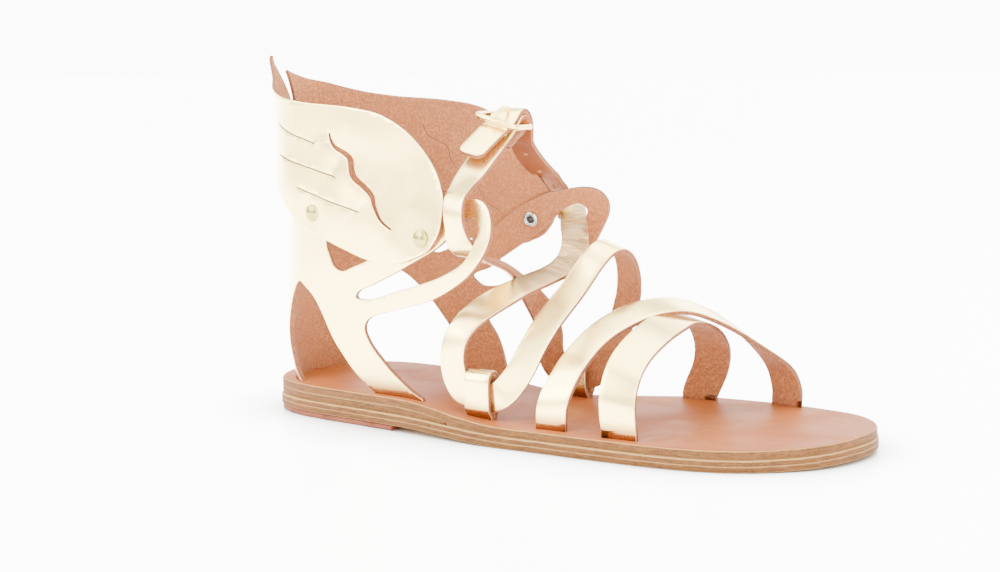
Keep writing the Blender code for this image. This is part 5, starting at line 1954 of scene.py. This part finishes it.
def light_studio():
    """A white room: brighter where it is seen or mirrored than where it lights dull leather."""
    world = bpy.data.worlds.new("studio")
    bpy.context.scene.world = world
    world.use_nodes = True
    tree = world.node_tree
    room = tree.nodes["Background"]
    feed(tree, room.inputs["Color"], (1.0, 0.995, 0.985))
    ray = tree.nodes.new("ShaderNodeLightPath")
    seen = calculate(tree, "MULTIPLY_ADD", ray.outputs["Is Camera Ray"], 10.0, 1.4)
    direction = tree.nodes.new("ShaderNodeTexCoord")
    soft_shapes = ramp(tree, noise_node(tree, direction.outputs["Object"], 1.5, 0.0), 0.36, 0.64)
    mirrored_light = calculate(tree, "MULTIPLY_ADD", soft_shapes, 8.5, 1.8)
    level = calculate(tree, "MULTIPLY_ADD", ray.outputs["Is Glossy Ray"], mirrored_light, seen)
    tree.links.new(level, room.inputs["Strength"])
    soft_light("window_left", (-0.9, -0.7, 0.8), (0, 0, 0.05), (1.2, 1.0), 42.0, (1.0, 1.0, 1.0))
    soft_light("top_panel", (0.1, 0.0, 1.2), (0, 0, 0.0), (1.4, 1.2), 42.0, (1.0, 0.99, 0.97))
    soft_light("front_right", (0.9, -0.6, 0.5), (0, 0, 0.05), (0.6, 0.8), 12.0, (1.0, 0.98, 0.95))


# Colours

CHAMPAGNE = (0.95, 0.74, 0.26)
CHAMPAGNE_DEEP = (0.920, 0.680, 0.220)
# Painted shade in the hollows of crumpled foil.
WRINKLE_VALLEY_SHADE = (0.260, 0.125, 0.040)
FLESH_LIGHT = (0.500, 0.192, 0.072)
FLESH_DARK = (0.300, 0.110, 0.042)
FLESH_WORN = (0.380, 0.140, 0.050)
SOLE_REFLECTION_PAINT = (0.300, 0.115, 0.030)
# Colour of the painted shade and reflection on the lacing strap's gold.
PAINTED_SHADING_FOIL = (0.300, 0.185, 0.072)
SMOOTH_BACK_LIGHT = (0.190, 0.052, 0.015)
SMOOTH_BACK_DARK = (0.125, 0.032, 0.009)
SLIT_SHADE = (0.020, 0.008, 0.004)
EDGE_LIGHT = (0.620, 0.360, 0.200)
EDGE_MID = (0.260, 0.095, 0.042)
EDGE_DARK = (0.120, 0.040, 0.018)
TAN_LIGHT = (0.330, 0.100, 0.026)
TAN_MID = (0.270, 0.078, 0.019)
TAN_DEEP = (0.210, 0.056, 0.014)
STACK_LIGHT = (0.240, 0.105, 0.028)
STACK_MID = (0.125, 0.050, 0.013)
STACK_DARK = (0.062, 0.024, 0.006)
STACK_WARM = (0.150, 0.052, 0.012)
STACK_RIM_BURNISH_AND_HIGHLIGHT = (0.380, 0.210, 0.075)
RUBBER_LIGHT = (0.24, 0.070, 0.034)
RUBBER_MID = (0.18, 0.046, 0.022)
RUBBER_DARK = (0.080, 0.022, 0.012)

# Values that the pieces share

HARNESS_BACK_CURVE = form_curve(HARNESS_FORM, 1)
HARNESS_RADIUS_CURVE = form_curve(HARNESS_FORM, 2)
HARNESS_SPLAY_CURVE = form_curve(HARNESS_FORM, 3)
WING_BACK_CURVE = form_curve(WING_BACK, 1)
WAVY_LINE = smooth_curve([Vector((x * MM, y * MM, 0.0)) for x, y in WAVY_SLIT], 4, False)


def shoe_origin():
    """Where the shoe's own axes start in the frame, from the outsole's box."""
    low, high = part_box("outsole")
    near, far = sole_rim(OUTSOLE_EDGE_STEP, 3)
    rim = near + far
    return Vector((
        low.x - min(point.x for point in rim),
        (low.y + high.y - min(point.y for point in rim) - max(point.y for point in rim)) / 2,
        0.0,
    ))


ORIGIN = shoe_origin()


def main():
    place_camera()
    effects = {
        "grain": grain_group(), "nap": nap_group(), "wrinkle": wrinkle_group(),
        "edge": cut_edge_group(), "handling": handling_group(), "slit_shade": slit_shade_group(),
    }
    edge = edge_leather(effects)
    leather = (gold_leather(effects), edge, flesh_leather(effects))
    tan = tan_leather(effects)
    insole_side = stacked_leather(effects, "insole_side", 0.0)
    outsole_side = stacked_leather(effects, "outsole_side", 0.55)
    rubber = lift_rubber(effects)
    brass = polished_metal(effects, "brass", (0.38, 0.31, 0.10), (0.27, 0.21, 0.06), 0.18)
    gilt = polished_metal(effects, "gilt_wire", (0.85, 0.62, 0.20), (0.62, 0.40, 0.12), 0.08)
    silver = polished_metal(effects, "steel_ring", (0.42, 0.42, 0.41), (0.26, 0.25, 0.24), 0.2)
    bore_shade = painted_bore_shade(effects)

    def outsole_top(x):
        return ground_rise(x) + OUTSOLE_THICKNESS + LAYER_PRESS

    def insole_under(x):
        closed = outsole_top(x) + GLUE_LINE if x > wedge_front() - 1.0 * MM else 0.0
        reach = insole_bottom(x) - LAYER_PRESS
        return closed if 0.0 < reach - closed < 2.5 * MM else reach

    outsole = sole_layer("stacked_outsole", ground_rise, outsole_top, OUTSOLE_EDGE_STEP, 0.25 * MM,
                         (outsole_side, outsole_side))
    finish_piece(outsole, "sole_leather", "outsole")
    insole = sole_layer("smooth_insole", insole_under, insole_top, 0.0, 0.2 * MM,
                        (tan, insole_side))
    cut(insole, slot_cutters())
    finish_piece(insole, "insole_leather", "insole")
    wedge = sole_layer(
        "stacked_wedge", lambda x: outsole_top(x) + GLUE_LINE,
        lambda x: max(insole_bottom(x) - 0.15 * MM, outsole_top(x) + 0.35 * MM), 0.0, 0.1 * MM,
        (insole_side, insole_side),
    )
    keep_part(wedge, Vector((wedge_front(), 0, 0)), Vector((1, 0, 0)))
    finish_piece(wedge, "sole_leather", "heel_wedge")
    lift = sole_layer("worn_heel_lift", lambda x: 0.0, lambda x: HEEL_LIFT_THICKNESS + 0.15 * MM,
                      -0.2 * MM, 0.7 * MM, (rubber, rubber))
    keep_part(lift, Vector((HEEL_BREAST * SOLE_LENGTH, 0, 0)), Vector((1, 0, 0)))
    finish_piece(lift, "heel_rubber", "heel_lift")

    finish_piece(dressed_harness(leather), "gold_leather", "heel_harness")
    rivet_maker = rivet_tree(brass, silver, bore_shade)
    for name, side in (("lateral", -1.0), ("medial", 1.0)):
        finish_piece(dressed_wing("feathered_wing_" + name, side, leather), "gold_leather", "wing_" + name)
        for site in rivet_sites(side):
            made = dressed_rivet("domed_rivet_" + site[0] + "_" + name, site[1], site[2], rivet_maker)
            finish_piece(made, "brass", "rivet_" + site[0] + "_" + name)

    for name, rows, wide in (("toe_strap_over", OVER_STRAP, OVER_STRAP_WIDTH),
                             ("toe_strap_under", UNDER_STRAP, UNDER_STRAP_WIDTH)):
        route = strap_route(rows, insole_bottom)
        if name == "toe_strap_over":
            route = raised_middle(route, OVER_STRAP_RISE)
        made = leather_strap(name, route, wide, STRAP_THICKNESS, leather)
        finish_piece(made, "gold_leather", "toe_straps")
    for name, along, across in SOLE_LOOPS:
        made = leather_strap("folded_" + name, loop_route(along, across), SOLE_LOOP_WIDTH,
                             STRAP_THICKNESS, leather)
        finish_piece(made, "gold_leather", name)

    route = strap_route(LACE_STRAP, insole_bottom)
    lace = leather_strap("long_lacing_strap", route, LACE_WIDTH, STRAP_THICKNESS, leather, LACE_CREASES,
                         LACE_CRUMPLES, LACE_PAINTED_SHADING, TAB_CORNER)
    punches = []
    middles, widths, rows = route
    for row in PUNCH_ROWS:
        place = on_foot(*row)
        nearest = min(range(len(middles)), key=lambda k: (middles[k] - place).length)
        along = middles[nearest + 1] - middles[nearest - 1]
        reach = widths[nearest].cross(along).normalized() * STRAP_THICKNESS * 1.2
        here = middles[nearest]
        punches.append(round_cutter(here - reach, here + reach, PUNCH_HOLE_RADIUS, edge))
    cut(lace, punches)
    paint_smooth_back(lace, middles, rows, smooth_back(effects))
    finish_piece(lace, "gold_leather", "lacing_strap")

    rod_maker = rod_tree(gilt)
    for name, line, closed, radius in (("buckle_frame", frame_line(), True, BUCKLE_ROD / 2),
                                       ("buckle_prong", prong_path(), False, PRONG_RADIUS)):
        made = run_tree(name + "_bent", line_mesh(name + "_bent", line, closed), rod_maker,
                        {"Radius": radius})
        turn_outwards(made.data)
        finish_piece(made, "brass", name)
    finish_piece(dressed_strap_rivet(brass), "brass", "strap_rivet")

    lay_floor()
    light_studio()


main()
